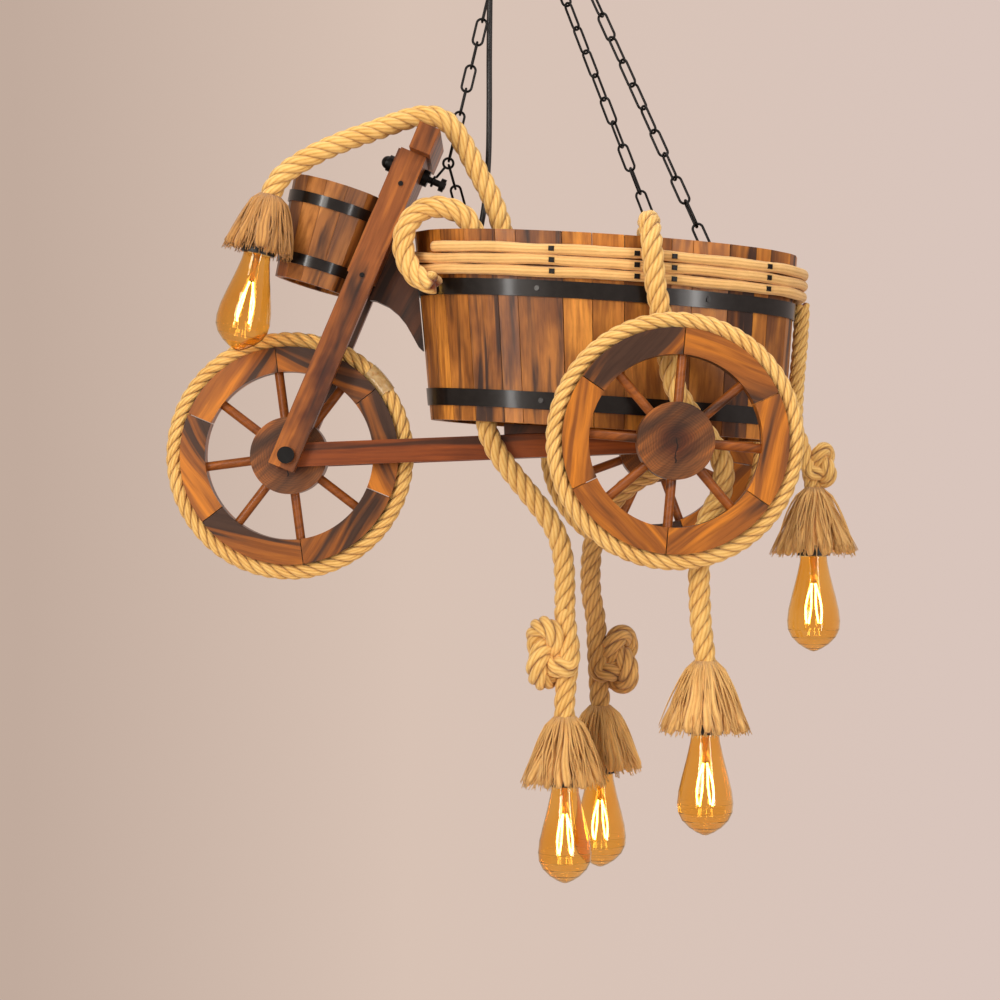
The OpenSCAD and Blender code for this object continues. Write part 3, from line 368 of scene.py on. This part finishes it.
mat_spoke = wood("spoke_wood", srgb(184, 102, 28), srgb(144, 76, 20), srgb(74, 38, 14), straight(0.4),
                 bands=20, wander=3, dark_at=0.62, vary=0.7)
mat_rim, mat_hub = {}, {}
for key, wheel in WHEELS.items():
    mat_rim[key] = wood(f"rim_{key}", srgb(206, 122, 28), srgb(150, 84, 24), srgb(64, 38, 22),
                        felloe_coords(wheel),
                        bands=22, wander=5, dark_at=0.5, vary=0.4, bold=0.62, fine=230)
    mat_hub[key] = hub_wood(f"hub_{key}", wheel.at)

# ---------------------------------------------------------------- metal, plastic, glass


def metal(name, colour, metallic, rough, bump=0.08, more=None):
    """Painted or plated metal, or plain plastic, a little uneven."""
    m = Mat(name)
    low, high = (tuple(min(1, c * k) for c in colour[:3]) for k in (0.8, 1.25))
    n, shade = m.mottle(90, 4, 0.6, low, high)
    m.set({"Base Color": shade, "Metallic": metallic, "Roughness": m.add(m.mul(n, 0.16), rough - 0.08)})
    m.set(more or {})
    m.bump(m.noise(m.coords(), 420, 3, 0.7), bump, 0.0004)
    return m.m


mat_iron = metal("black_iron", srgb(14, 13, 13), 0.2, 0.36, more={"Specular IOR Level": 0.25})
mat_hoop = metal("hoop_iron", srgb(30, 28, 27), 0.75, 0.34, 0.03,
                 {"Specular IOR Level": 0.25, "Coat Weight": 0.5, "Coat Roughness": 0.14})
mat_steel = metal("zinc_steel", srgb(176, 176, 172), 1.0, 0.3)
mat_plastic = metal("black_plastic", srgb(22, 22, 23), 0.0, 0.45, 0.15)
mat_cap = metal("cap_white", srgb(206, 200, 192), 0.2, 0.35)

m = Mat("amber_glass")
_, amber = m.mottle(18, 2, 0.5, srgb(252, 210, 122), srgb(254, 222, 150))
m.set({"Base Color": amber, "Transmission Weight": 1, "Roughness": 0.02, "IOR": 1.45})
mat_glass = m.m

m = Mat("clear_tape")
wrinkles, amber = m.mottle(160, 3, 0.6, srgb(200, 150, 76), srgb(244, 212, 150))
m.set({"Base Color": amber, "Roughness": 0.12, "Transmission Weight": 0.5, "Coat Weight": 1})
m.bump(wrinkles, 0.5, 0.002)
mat_tape = m.m

m = Mat("glow_thread")
_, hot = m.mottle(300, 2, 0.5, (1, 0.62, 0.2), (1, 0.85, 0.5))
m.set({"Base Color": hot, "Emission Color": hot, "Emission Strength": 14})
mat_glow = m.m

# ---------------------------------------------------------------- hemp


def hemp(name, light, mid, dark, yarns=7.0, twist=1.0, painted_groove_shade=True):
    """Hemp yarns from a tube's own UV, U along it in metres and V round it.

    twist is the yarns' slant, and the last flag says whether points deep in a rope get painted shade, darker
    as if shadowed in its grooves.
    """
    m = Mat(name)
    along, round_, _ = m.parts(m.node("ShaderNodeUVMap", uv_map="UVMap").outputs[0])
    phase = m.add(m.mul(round_, yarns), m.mul(along, 60 * twist))
    yarn = m.math("ABSOLUTE", m.math("SINE", m.mul(phase, math.pi)))
    fibre = m.noise(m.join(m.mul(along, 18), m.mul(phase, 1.7), 0), 7, 5, 0.7)
    blotch = m.noise(m.coords(), 30, 3, 0.6)
    tone = m.add(m.mul(yarn, 0.3), m.mul(fibre, 0.75))
    tone = m.add(tone, m.mul(m.sub(blotch, 0.5), 0.4))
    col = m.ramp(tone, [(0.16, dark), (0.42, mid), (0.74, light)])
    # Painted shade: points deep in a rope, in the grooves between its strands and on its core, are multiplied
    # darker
    if painted_groove_shade:
        deep = m.node("ShaderNodeAttribute", attribute_name="inner").outputs["Fac"]
        col = m.mix(deep, col, m.mix(1.0, col, srgb(128, 72, 26), "MULTIPLY"))
    m.set({"Base Color": col, "Roughness": 0.8, "Sheen Weight": 0.2})
    m.bump(m.add(m.mul(yarn, 0.5), fibre), 0.6, 0.0012)
    return m.m


mat_rope = hemp("hemp_rope", srgb(250, 206, 124), srgb(226, 168, 82), srgb(156, 96, 34))
# A darker copy of the hemp, painted shade for the far drop that hangs in shadow
mat_shaded_rope = hemp("hemp_rope_painted_shade", srgb(226, 174, 98), srgb(186, 132, 66), srgb(116, 72, 30))
mat_band = hemp("hemp_winding", srgb(246, 196, 124), srgb(222, 168, 96), srgb(160, 106, 48), 9, 0.06)
mat_brown_fray = hemp("hemp_frayed_brown", srgb(214, 156, 84), srgb(168, 114, 54), srgb(94, 58, 24),
                      5, 0.03, False)
mat_fray = hemp("hemp_frayed", srgb(248, 196, 118), srgb(214, 158, 84), srgb(130, 82, 34), 5, 0.03, False)

# ---------------------------------------------------------------- mesh helpers


def steps(path):
    return np.linalg.norm(np.diff(path, axis=0), axis=1)


def along_path(path):
    """How far along a path each of its points lies."""
    return np.concatenate([[0], np.cumsum(steps(path))])


def length_of(path):
    return float(np.sum(steps(path)))


def smooth_path(points, step=0.0025):
    """Points every step along a smooth curve through the given points."""
    p = np.array(points, float)
    out = []
    for i in range(len(p) - 1):
        b, c = p[i], p[i + 1]
        a = p[i - 1] if i else 2 * b - c
        d = p[i + 2] if i + 2 < len(p) else 2 * c - b
        for t in np.linspace(0, 1, 24, endpoint=False):
            out.append(0.5 * (2 * b + (c - a) * t + (2 * a - 5 * b + 4 * c - d) * t ** 2
                              + (3 * b - a - 3 * c + d) * t ** 3))
    out = np.array(out + [p[-1]])
    lengths = along_path(out)
    count = max(4, int(round(lengths[-1] / step)))
    s = np.linspace(0, lengths[-1], count + 1)
    return np.stack([np.interp(s, lengths, out[:, k]) for k in range(3)], 1)


def frames(path):
    """A tangent and two normals at each point, turned as little as possible."""
    t = np.gradient(path, axis=0)
    t /= np.linalg.norm(t, axis=1)[:, None]
    n = np.zeros_like(t)
    first = np.cross(t[0], (0.3, 0.9, 0.1))
    n[0] = first / np.linalg.norm(first)
    for i in range(1, len(t)):
        v = n[i - 1] - t[i] * np.dot(n[i - 1], t[i])
        n[i] = v / np.linalg.norm(v)
    return t, n, np.cross(t, n)


def closing_turn(t, n):
    """The angle from the last normal of a closed path to its first."""
    return math.atan2(np.dot(np.cross(n[-1], n[0]), t[0]), np.dot(n[-1], n[0]))


# Radii in a rope as shares of its diameter: its core, its strands and their way round the centreline
CORE, STRAND, HELIX = 0.2, 0.228, 0.285


class Builder:
    """Collects tubes and skins into one mesh, with a UV and how deep each point lies in its rope."""

    def __init__(self):
        self.v, self.f, self.uv, self.inner, self.n = [], [], [], [], 0

    def tube(self, path, radius, sides, closed=False, depth=None, u0=0.0, cap=True):
        """A tube round a path, with one radius or one for each point.

        depth is the rope's own centreline and radius: points well inside that radius count as deep.
        """
        path = np.asarray(path, float)
        t, n, b = frames(path)
        if closed:
            a = np.linspace(0, closing_turn(t, n), len(path))[:, None]
            n, b = n * np.cos(a) + b * np.sin(a), b * np.cos(a) - n * np.sin(a)
        r = np.broadcast_to(np.asarray(radius, float), (len(path),))
        s = along_path(path) + u0
        rings = len(path) - 1 if closed else len(path)
        ang = np.linspace(0, TURN, sides, endpoint=False)[None, :, None]
        out = np.cos(ang) * n[:rings, None, :] + np.sin(ang) * b[:rings, None, :]
        ring = path[:rings, None, :] + r[:rings, None, None] * out
        self.v.append(ring.reshape(-1, 3))
        inner = np.zeros((rings, sides))
        if depth is not None:
            centre, reach = depth
            d = np.linalg.norm(ring - centre[:rings, None, :], axis=2) / reach
            inner = np.clip((0.93 - d) / 0.28, 0, 1)
        self.inner.append(inner.reshape(-1))
        for i in range(rings if closed else rings - 1):
            j = (i + 1) % rings
            for k in range(sides):
                l = (k + 1) % sides
                self.f.append((self.n + i * sides + k, self.n + i * sides + l,
                               self.n + j * sides + l, self.n + j * sides + k))
                self.uv.append(((s[i], k / sides), (s[i], (k + 1) / sides),
                                (s[i + 1], (k + 1) / sides), (s[i + 1], k / sides)))
        if cap and not closed:
            for base, order in ((0, range(sides - 1, -1, -1)), ((rings - 1) * sides, range(sides))):
                self.f.append(tuple(self.n + base + k for k in order))
                self.uv.append(tuple((s[0], k / sides) for k in order))
        self.n += rings * sides

    def rope(self, path, d, lay=2.7, closed=False, strands=4):
        """A rope of twisted strands round a core, darkened with painted shade. One turn of the strands takes
        lay diameters.
        """
        path = np.asarray(path, float)
        turns = length_of(path) / (lay * d)
        t, n, b = frames(path)
        hold = 0.0
        if closed:
            turns = round(turns)
            hold = closing_turn(t, n)
        s = np.linspace(0, 1, len(path))
        # The core counts as deep all through, so its hemp is painted in shade; the strands are painted darker
        # where they turn in towards the middle
        self.tube(path, CORE * d, 8, closed, depth=(path, 5 * d))
        for k in range(strands):
            a = TURN * (k / strands + turns * s) + hold * s
            off = (np.cos(a)[:, None] * n + np.sin(a)[:, None] * b) * (HELIX * d)
            self.tube(path + off, STRAND * d, 12, closed, depth=(path, 0.5 * d))

    def skin(self, rings, capped=False):
        """Faces between each closed ring of points and the next, and over both ends if capped."""
        size = len(rings[0])
        for r in range(len(rings) - 1):
            low = self.n + r * size
            for k in range(size):
                l = (k + 1) % size
                self.f.append((low + k, low + l, low + size + l, low + size + k))
                self.uv.append(((k, r), (k + 1, r), (k + 1, r + 1), (k, r + 1)))
        if capped:
            high = self.n + (len(rings) - 1) * size
            for cap in (range(high, high + size), range(self.n + size - 1, self.n - 1, -1)):
                self.f.append(tuple(cap))
                self.uv.append(tuple((k, 0) for k in range(size)))
        self.v += rings
        self.inner.append(np.zeros(len(rings) * size))
        self.n += len(rings) * size

    def make(self, name, material, body, slot, smooth=True):
        mesh = bpy.data.meshes.new(name)
        mesh.from_pydata(np.concatenate(self.v).tolist(), [], self.f)
        layer = mesh.uv_layers.new(name="UVMap")
        layer.data.foreach_set("uv", np.array([c for f in self.uv for p in f for c in p], np.float32))
        att = mesh.attributes.new("inner", "FLOAT", "POINT")
        att.data.foreach_set("value", np.concatenate(self.inner).astype(np.float32))
        mesh.polygons.foreach_set("use_smooth", [smooth] * len(mesh.polygons))
        mesh.materials.append(material)
        obj = bpy.data.objects.new(name, mesh)
        scene.collection.objects.link(obj)
        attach(obj, body)
        return obj


# ---------------------------------------------------------------- lamps and their ropes

# at is the middle of the holder's lower edge and tilt is in degrees; the skirt is the rope's frayed end
Lamp = namedtuple("Lamp", "key node rope_d material at tilt skirt_d skirt_height")
LAMPS = (
    Lamp("head", "rope_head", 25, mat_rope, (-309, -60, -413), 12, 78, 62),
    Lamp("front", "rope_front_drop", 25, mat_rope, (53, -30, -1041), 0, 100, 74),
    # The far lamp's rope has the darker hemp, painted shade
    Lamp("far", "rope_far_drop", 25, mat_shaded_rope, (99, 70, -1037), 0, 100, 74),
    Lamp("side", "rope_side_drop", 25, mat_rope, (209, -150, -967), 0, 100, 74),
    Lamp("rear", "rope_rear_drop", 19, mat_rope, (355, 20, -769), 0, 100, 74),
)
HOLDER_TOP = 52.3


def on_lamp(lamp, h, r=0.0, a=0.0):
    """Points of a lamp in millimetres: h above its holder's lower edge, r from its axis at angle a."""
    h, r, a = np.broadcast_arrays(h, r, a)
    x, y, z = lamp.at
    sin, cos = math.sin(math.radians(lamp.tilt)), math.cos(math.radians(lamp.tilt))
    across = r * np.cos(a)
    return np.stack([x + across * cos + h * sin, y + r * np.sin(a), z - across * sin + h * cos], -1)


def knot_points(cx, cy, cz, size, deep, side):
    """A figure-of-eight knot in a hanging rope. It bulges to one side, and its ends leave up and down."""
    pts = []
    back = 2.0 if side > 0 else 2.5  # how far the knot stands out to its side
    for t in np.radians(np.linspace(524, 196, 17)):
        x, y, z = math.sin(t) + 2 * math.sin(2 * t), math.cos(t) - 2 * math.cos(2 * t), -math.sin(3 * t)
        pts.append((cx - side * (y + back) * size * 0.88, cy + z * deep, cz + x * size * 1.25))
    return pts


ROUTES = {
    "head": [
        (-8, -32, -590.8), (-8, -32, -540), (-10, -31, -485), (-14, -28, -430), (-20, -25, -385),
        (-33, -24, -345), (-50, -24, -312), (-66, -24, -281), (-82, -24, -257), (-97, -24, -247),
        (-114, -25, -245), (-135, -30, -250), (-158, -36, -259), (-182, -44, -269), (-206, -52, -279),
        (-236, -59, -293), (-260, -62, -307), (-278, -62, -320), (-289, -61, -335),
        on_lamp(LAMPS[0], 64)],
    "front": [
        (-40, -47.8, -580), (-40, -47.8, -604), (-38, -49, -622), (-27, -49.8, -646), (-8, -49.6, -672),
        (13, -47, -698), (33, -44, -724), (46, -40, -750), (52, -36, -783), (53, -33, -825),
        (53, -31, -838), *knot_points(53, -31, -884, 9.5, 13, 1), (53, -30, -938), (53, -30, -970)],
    "far": [
        (200, 65, -590), (200, 65, -618), (195, 66, -638), (184, 68, -655), (165, 70, -668),
        (143, 70, -679), (121, 70, -697), (103, 70, -719), (93, 70, -744), (88, 70, -775),
        (88, 70, -815), (94, 70, -852), *knot_points(98, 70, -898, 9, 13, -1),
        (99, 70, -950), (99, 70, -974)],
    "side": [
        (147, -90, -445), (147, -90, -418), (147, -92.5, -402), (147, -101, -387), (147, -112, -381.5),
        (147, -124, -382), (147, -137, -388), (148, -147, -402), (149, -152, -419), (151, -152, -440),
        (153, -151, -460), (157, -150.5, -480), (161, -150.5, -505), (166, -150.5, -535), (172, -150.5, -566),
        (184, -150.5, -592), (204, -150.5, -620), (222, -150.5, -645), (230, -150.5, -670),
        (226, -150.5, -696), (213, -150.5, -722), (204, -150, -752), (202, -150, -787),
        (204, -150, -840), (209, -150, -885)],
    "rear": [
        (341, 20, -466), (340, 20, -492), (338, 20, -522), (335, 20, -556), (333, 20, -592),
        (334, 20, -618), (339, 20, -630), *knot_points(350, 20, -660, 5.6, 9.5, -1), (354, 20, -690)],
}
LOCKS, FIBRES = 24, 230


def skirt(number, lamp):
    """The frayed end of a rope: a lining, flared locks over the holder and loose fibres on them."""
    b = Builder()
    r0, r1, high = lamp.rope_d / 2, lamp.skirt_d / 2, lamp.skirt_height
    by_head = lamp.key == "head"  # this skirt is short and brown, and flares sooner to clear the holder
    swell, curling = (0.56, 0.4) if by_head else (0.8, 1)
    # u runs from the rope's end, where a strand starts at the neck, down to the skirt's edge
    u = np.linspace(0, 0.86, 14)
    neck = 0.72 * r0
    b.tube(on_lamp(lamp, 2 + (high + 4) * (1 - u)) * MM,
           (neck + (r1 - neck - 7) * u ** (swell + 0.08) - 1.2) * MM, 30, cap=False)
    u = np.linspace(0, 1, 12)
    for k in range(LOCKS):
        a0 = TURN * (k + rng.uniform(-0.25, 0.25)) / LOCKS
        swing, drop = rng.uniform(-0.1, 0.1), rng.uniform(-1, 5)
        end, curl = r1 + rng.uniform(-7, 2) - 3, rng.uniform(0.75, 1.5)
        pts = on_lamp(lamp, 2 + (high + 4) * (1 - u) + drop * u,
                      neck + (end - neck) * u ** (swell * curl ** curling),
                      a0 + swing * u * u + 0.03 * np.sin(9 * u + k))
        width = (1.6 + 4.4 * u ** 0.8) * np.where(u > 0.9, 0.55 + 4.5 * (1 - u), 1)
        b.tube(pts * MM, width * MM, 8, u0=k * 0.37)
    u = np.linspace(0, 1, 9)
    neck = 0.95 * r0
    for k in range(FIBRES):
        a0 = rng.uniform(0, TURN)
        swing, drop = rng.uniform(-0.22, 0.22), rng.uniform(-4, 7)
        end, curl = r1 + rng.uniform(-7, 3.5), rng.uniform(0.7, 1.6)
        pts = on_lamp(lamp, 2 + (high + 6) * (1 - u) + drop * u,
                      neck + (end - neck) * u ** (swell * curl ** curling),
                      a0 + swing * u * u + 0.05 * np.sin(7 * u + k))
        b.tube(pts * MM, np.linspace(1.5, 0.45, 9) * MM, 5, u0=k * 0.11)
    return b.make(f"frayed_end_{number}", mat_brown_fray if by_head else mat_fray, "root", "hemp_rope")


def glow(number, lamp):
    """The four glow threads inside a bulb, and the clear stem that carries them."""
    b = Builder()
    u = np.linspace(0, 1, 14)
    for k in range(4):
        a = TURN / 8 + k * TURN / 4
        pts = on_lamp(lamp, -34 - 48 * u, 3 + 7.5 * np.sin(1.9 * u), a + 0.35 * np.sin(3 * u))
        b.tube(pts * MM, 1.15 * MM, 8)
    threads = b.make(f"glow_thread_{number}", mat_glow, "root", "steel")
    b = Builder()
    b.tube(on_lamp(lamp, np.linspace(4, -34, 10)) * MM,
           np.array([5, 5, 4.4, 3.6, 3, 2.6, 2.4, 2.4, 2.6, 1.6]) * MM, 16)
    for a in (TURN / 8, TURN * 5 / 8):
        b.tube(on_lamp(lamp, (-20, -28, -34), (2, 3, 3.2), a) * MM, 0.5 * MM, 6)
    stem = b.make(f"stem_{number}", mat_glass, "root", "amber_glass")
    stem.parent = threads
    stem["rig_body"] = "root"
    return threads


skirts = [skirt(number, lamp) for number, lamp in enumerate(LAMPS, 1)]
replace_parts(skirts[0], "rope_skirts")
threads = [glow(number, lamp) for number, lamp in enumerate(LAMPS, 1)]

for i, lamp in enumerate(LAMPS):
    path = smooth_path(np.array(ROUTES[lamp.key] + [on_lamp(lamp, HOLDER_TOP)]) * MM)
    b = Builder()
    b.rope(path, lamp.rope_d * MM)
    rope = b.make(f"lamp_rope_{lamp.key}", lamp.material, "root", "hemp_rope")
    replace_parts(rope, lamp.node)

LEAD_D = 7
path = smooth_path(np.array([
    (-36, 24, -40), (-36, 24, -70), (-36.5, 24, -110), (-37, 23, -170), (-37, 22, -230),
    (-38, 21, -290), (-42, 20, -340), (-49, 22, -380), (-60, 28, -420), (-68, 30, -470),
    (-69, 24, -515), (-62, 12, -547), (-47, 4, -566), (-30, 0, -574.6), (-18, 0, -576),
    (-6, 0, -576.9), (3, 0, -577.4)]) * MM, 0.004)
b = Builder()
b.tube(path, LEAD_D / 2 * MM, 14)
lead = b.make("power_lead", mat_plastic, "root", "black_plastic")
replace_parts(lead, "power_cord")

# ---------------------------------------------------------------- rope on the wheels

for key, wheel in WHEELS.items():
    x, y, z = wheel.at
    r = (wheel.tyre - TYRE_ROPE) / 2
    a = np.radians(40 + np.linspace(0, 360, 361))
    b = Builder()
    ring = np.stack([x + r * np.cos(a), np.full_like(a, y), z + r * np.sin(a)], 1) * MM
    b.rope(ring, TYRE_ROPE * MM, 3.1, closed=True)
    tyre = b.make(f"tyre_{key}", mat_rope, wheel.body, "hemp_rope")
    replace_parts(tyre, f"{key}_tyre_rope")

# ---------------------------------------------------------------- rope and iron on the tub

# Heights are from the rim, and the distances out are from the staves' outer face
WINDING_TURNS = 3 - 1 / 6  # the rope ends before its third step down
WINDING_POINTS = 680
WINDING_TOP, WINDING_PITCH, WINDING_OUT, WINDING_R = -21.7, 12.9, 8.4, 6.25
PINS_AT, PIN_OUT = (-72.5, -83, -106.5, -39.5), 13.4  # degrees round the tub
HOOP_POINTS = 240
HOOP_INNER, HOOP_OUTER = 0.3, 2.3


def tub_point(z, degrees, out):
    """Points on the tub in millimetres: z up from the rim, degrees round it and out from its outer face."""
    z, t = np.broadcast_arrays(z, np.radians(degrees))
    grow = TUB_FLARE * z / TUB_HEIGHT + out
    x = (TUB_HALF_LENGTH + grow) * np.cos(t) - TUB_SET_BACK * z / TUB_HEIGHT
    y = (TUB_HALF_WIDTH + grow) * np.sin(t)
    sin, cos = math.sin(TUB_LEAN), math.cos(TUB_LEAN)
    return np.array(TUB_AT) + np.stack([x * cos + z * sin, y, z * cos - x * sin], -1)


def winding_level(turn):
    """How many ropes down the winding lies: level for five sixths of each turn, then one smooth step."""
    whole = np.floor(turn)
    part = np.maximum(0.0, (turn - whole - 1 + 1 / 6) * 6)
    return whole + part * part * (3 - 2 * part)


turn = WINDING_TURNS * np.arange(WINDING_POINTS) / (WINDING_POINTS - 1)
wob = 0.45 * np.sin(41 * turn) + 0.35 * np.sin(97 * turn + 1)
height = WINDING_TOP - WINDING_PITCH * winding_level(turn) + wob
path = tub_point(height, 210 + 360 * turn, WINDING_OUT) * MM
radius = [WINDING_R + 0.35 * math.sin(0.31 * i) * math.sin(0.083 * i + 2) + rng.uniform(-0.12, 0.12)
          for i in range(WINDING_POINTS)]
b = Builder()
b.tube(path, np.array(radius) * MM, 16)
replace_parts(b.make("rim_rope", mat_band, "root", "hemp_rope"), "rim_winding")

b = Builder()
b.rope(smooth_path(np.array([
    (-54, -53, -406), (-56, -54, -384), (-69, -56, -366), (-92, -59, -358), (-114, -62, -361),
    (-129, -65, -374), (-136, -68, -390), (-137, -70, -408), (-132, -72, -425), (-123, -76, -439),
    (-111, -83, -447), (-100, -91, -450)]) * MM), 26 * MM)
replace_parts(b.make("rim_loop", mat_rope, "root", "hemp_rope"), "front_loop")

# Each side of a hoop is its own skin, so that its edges stay sharp
b = Builder()
for high, low in HOOPS:
    t = np.arange(HOOP_POINTS) * 360 / HOOP_POINTS
    corners = ((low, HOOP_OUTER), (high, HOOP_OUTER), (high, HOOP_INNER), (low, HOOP_INNER))
    edges = [tub_point(z, t, out) * MM for z, out in corners]
    for p, q in zip(edges, edges[1:] + edges[:1]):
        b.skin([p, q])
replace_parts(b.make("hoop_bands", mat_hoop, "root", "hoop_iron"), "tub_hoops")

# The square heads of the pins that hold the winding, each with a bevel
b = Builder()
up = np.array([math.sin(TUB_LEAN), 0, math.cos(TUB_LEAN)])
for t in PINS_AT:
    for k in range(3):
        z = WINDING_TOP - WINDING_PITCH * k
        c = tub_point(z, t, PIN_OUT)
        along = tub_point(z, t + 0.5, PIN_OUT) - tub_point(z, t - 0.5, PIN_OUT)
        along /= np.linalg.norm(along)
        out = np.cross(along, up)
        b.skin([np.array([c + out * h + along * x * w + up * y * w * 0.9
                          for x, y in ((-1, -1), (1, -1), (1, 1), (-1, 1))]) * MM
                for h, w in ((0, 3.2), (2.2, 3.2), (2.9, 2.5))], capped=True)
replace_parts(b.make("pin_heads", mat_iron, "root", "black_metal", smooth=False), "winding_pins")

# ---------------------------------------------------------------- materials of the CAD nodes

MATS = {
    mat_iron: ["ceiling_cup", "chain_hooks", "front_chain", "neck_chain", "near_rear_chain", "far_rear_chain",
               "tub_eyes", "frame_nails", "head_bolt", "chain_hanger", "front_axle", "rear_axle"],
    mat_hoop: ["hoop_rivets", "bucket_hoops"],
    mat_steel: ["mounting_bar", "cup_screws", "rear_axle_nuts"],
    mat_cap: ["bulb_caps"],
    mat_plastic: ["cord_gland", "wiring_box", "box_lid", "lamp_holders"],
    mat_glass: ["bulb_glasses"],
    mat_tape: ["tyre_sleeve"],
    mat_staves: ["tub_staves"],
    mat_fork: ["near_fork_leg", "far_fork_leg", "head_block", "handlebar"],
    mat_beam: ["near_beam", "far_beam"],
    mat_dark: ["tub_bottom", "front_bolster", "rear_bolster", "neck_board", "bucket_bottom"],
    mat_bucket: ["bucket_staves_ring"],
    mat_spoke: ["front_spokes", "near_spokes", "far_spokes"],
}
for key in WHEELS:
    MATS[mat_rim[key]] = [f"{key}_felloes"]
    MATS[mat_hub[key]] = [f"{key}_hub"]
for material, names in MATS.items():
    for name in names:
        for s in nodes[name].material_slots:
            s.material = material

# ---------------------------------------------------------------- light and backdrop

# The air lights everything evenly, and the camera, glass and gloss see a wall with painted shade, darker to
# the left
world = bpy.data.worlds.new("world")
scene.world = world
world.use_nodes = True
w = Nodes(world.node_tree)
air = w.t.nodes["Background"]
air.inputs["Color"].default_value = (1, 0.97, 0.94, 1)
air.inputs["Strength"].default_value = 0.46
wall = w.node("ShaderNodeBackground")
sideways = w.parts(w.node("ShaderNodeTexCoord").outputs["Generated"])[0]
# Painted shade on the wall: its colour falls off towards the left
w.put(wall.inputs["Color"], w.ramp(w.add(sideways, 0.5), [
    (0.3, srgb(193, 171, 157)), (0.46, srgb(216, 194, 180)), (0.7, srgb(217, 197, 188))]))
ray = w.node("ShaderNodeLightPath").outputs
looking = w.math("MAXIMUM", ray["Is Transmission Ray"], ray["Is Glossy Ray"])
looking = w.math("MAXIMUM", ray["Is Camera Ray"], looking)
mixer = w.node("ShaderNodeMixShader")
for target, value in zip(mixer.inputs, (looking, air.outputs[0], wall.outputs[0])):
    w.put(target, value)
w.put(w.t.nodes["World Output"].inputs["Surface"], mixer.outputs[0])


def area_light(name, at, aim, size, power, colour=WHITE):
    data = bpy.data.lights.new(name, "AREA")
    data.shape = "RECTANGLE"
    data.size, data.size_y = size
    data.energy = power
    data.color = colour
    obj = bpy.data.objects.new(name, data)
    scene.collection.objects.link(obj)
    obj.location = at
    obj.rotation_euler = (Vector(aim) - Vector(at)).to_track_quat("-Z", "Y").to_euler()


area_light("key", (-1.3, -2.3, 0.3), (0, 0, -0.6), (0.8, 1.6), 34, (1, 0.95, 0.88))
area_light("fill", (1.5, -2.2, -0.5), (0, 0, -0.7), (0.5, 1.8), 10, (1, 0.97, 0.94))
area_light("strip_left", (-1.5, -2.1, -0.6), (0, 0, -0.7), (0.16, 1.9), 13, (1, 0.98, 0.95))
area_light("strip_right", (1.7, -2.4, -0.6), (0, 0, -0.7), (0.16, 1.9), 13, (1, 0.98, 0.95))
area_light("top", (0.3, -0.6, 1.6), (0, 0, -0.6), (1.6, 1.2), 24)

FLOOR_HALF, FLOOR_Z = 6, -2.6
corners = [(x * FLOOR_HALF, y * FLOOR_HALF, FLOOR_Z) for x, y in ((-1, -1), (1, -1), (1, 1), (-1, 1))]
floor_mesh = bpy.data.meshes.new("floor")
floor_mesh.from_pydata(corners, [], [(0, 1, 2, 3)])
floor = bpy.data.objects.new("floor", floor_mesh)
scene.collection.objects.link(floor)
m = Mat("floor")
_, pale = m.mottle(2, 2, 0.5, srgb(232, 212, 200), srgb(240, 222, 212))
seen = m.node("ShaderNodeLightPath").outputs["Is Camera Ray"]
m.set({"Base Color": pale, "Roughness": 0.9, "Emission Color": srgb(222, 202, 190),
       "Emission Strength": m.mul(seen, 0.3)})
floor_mesh.materials.append(m.m)
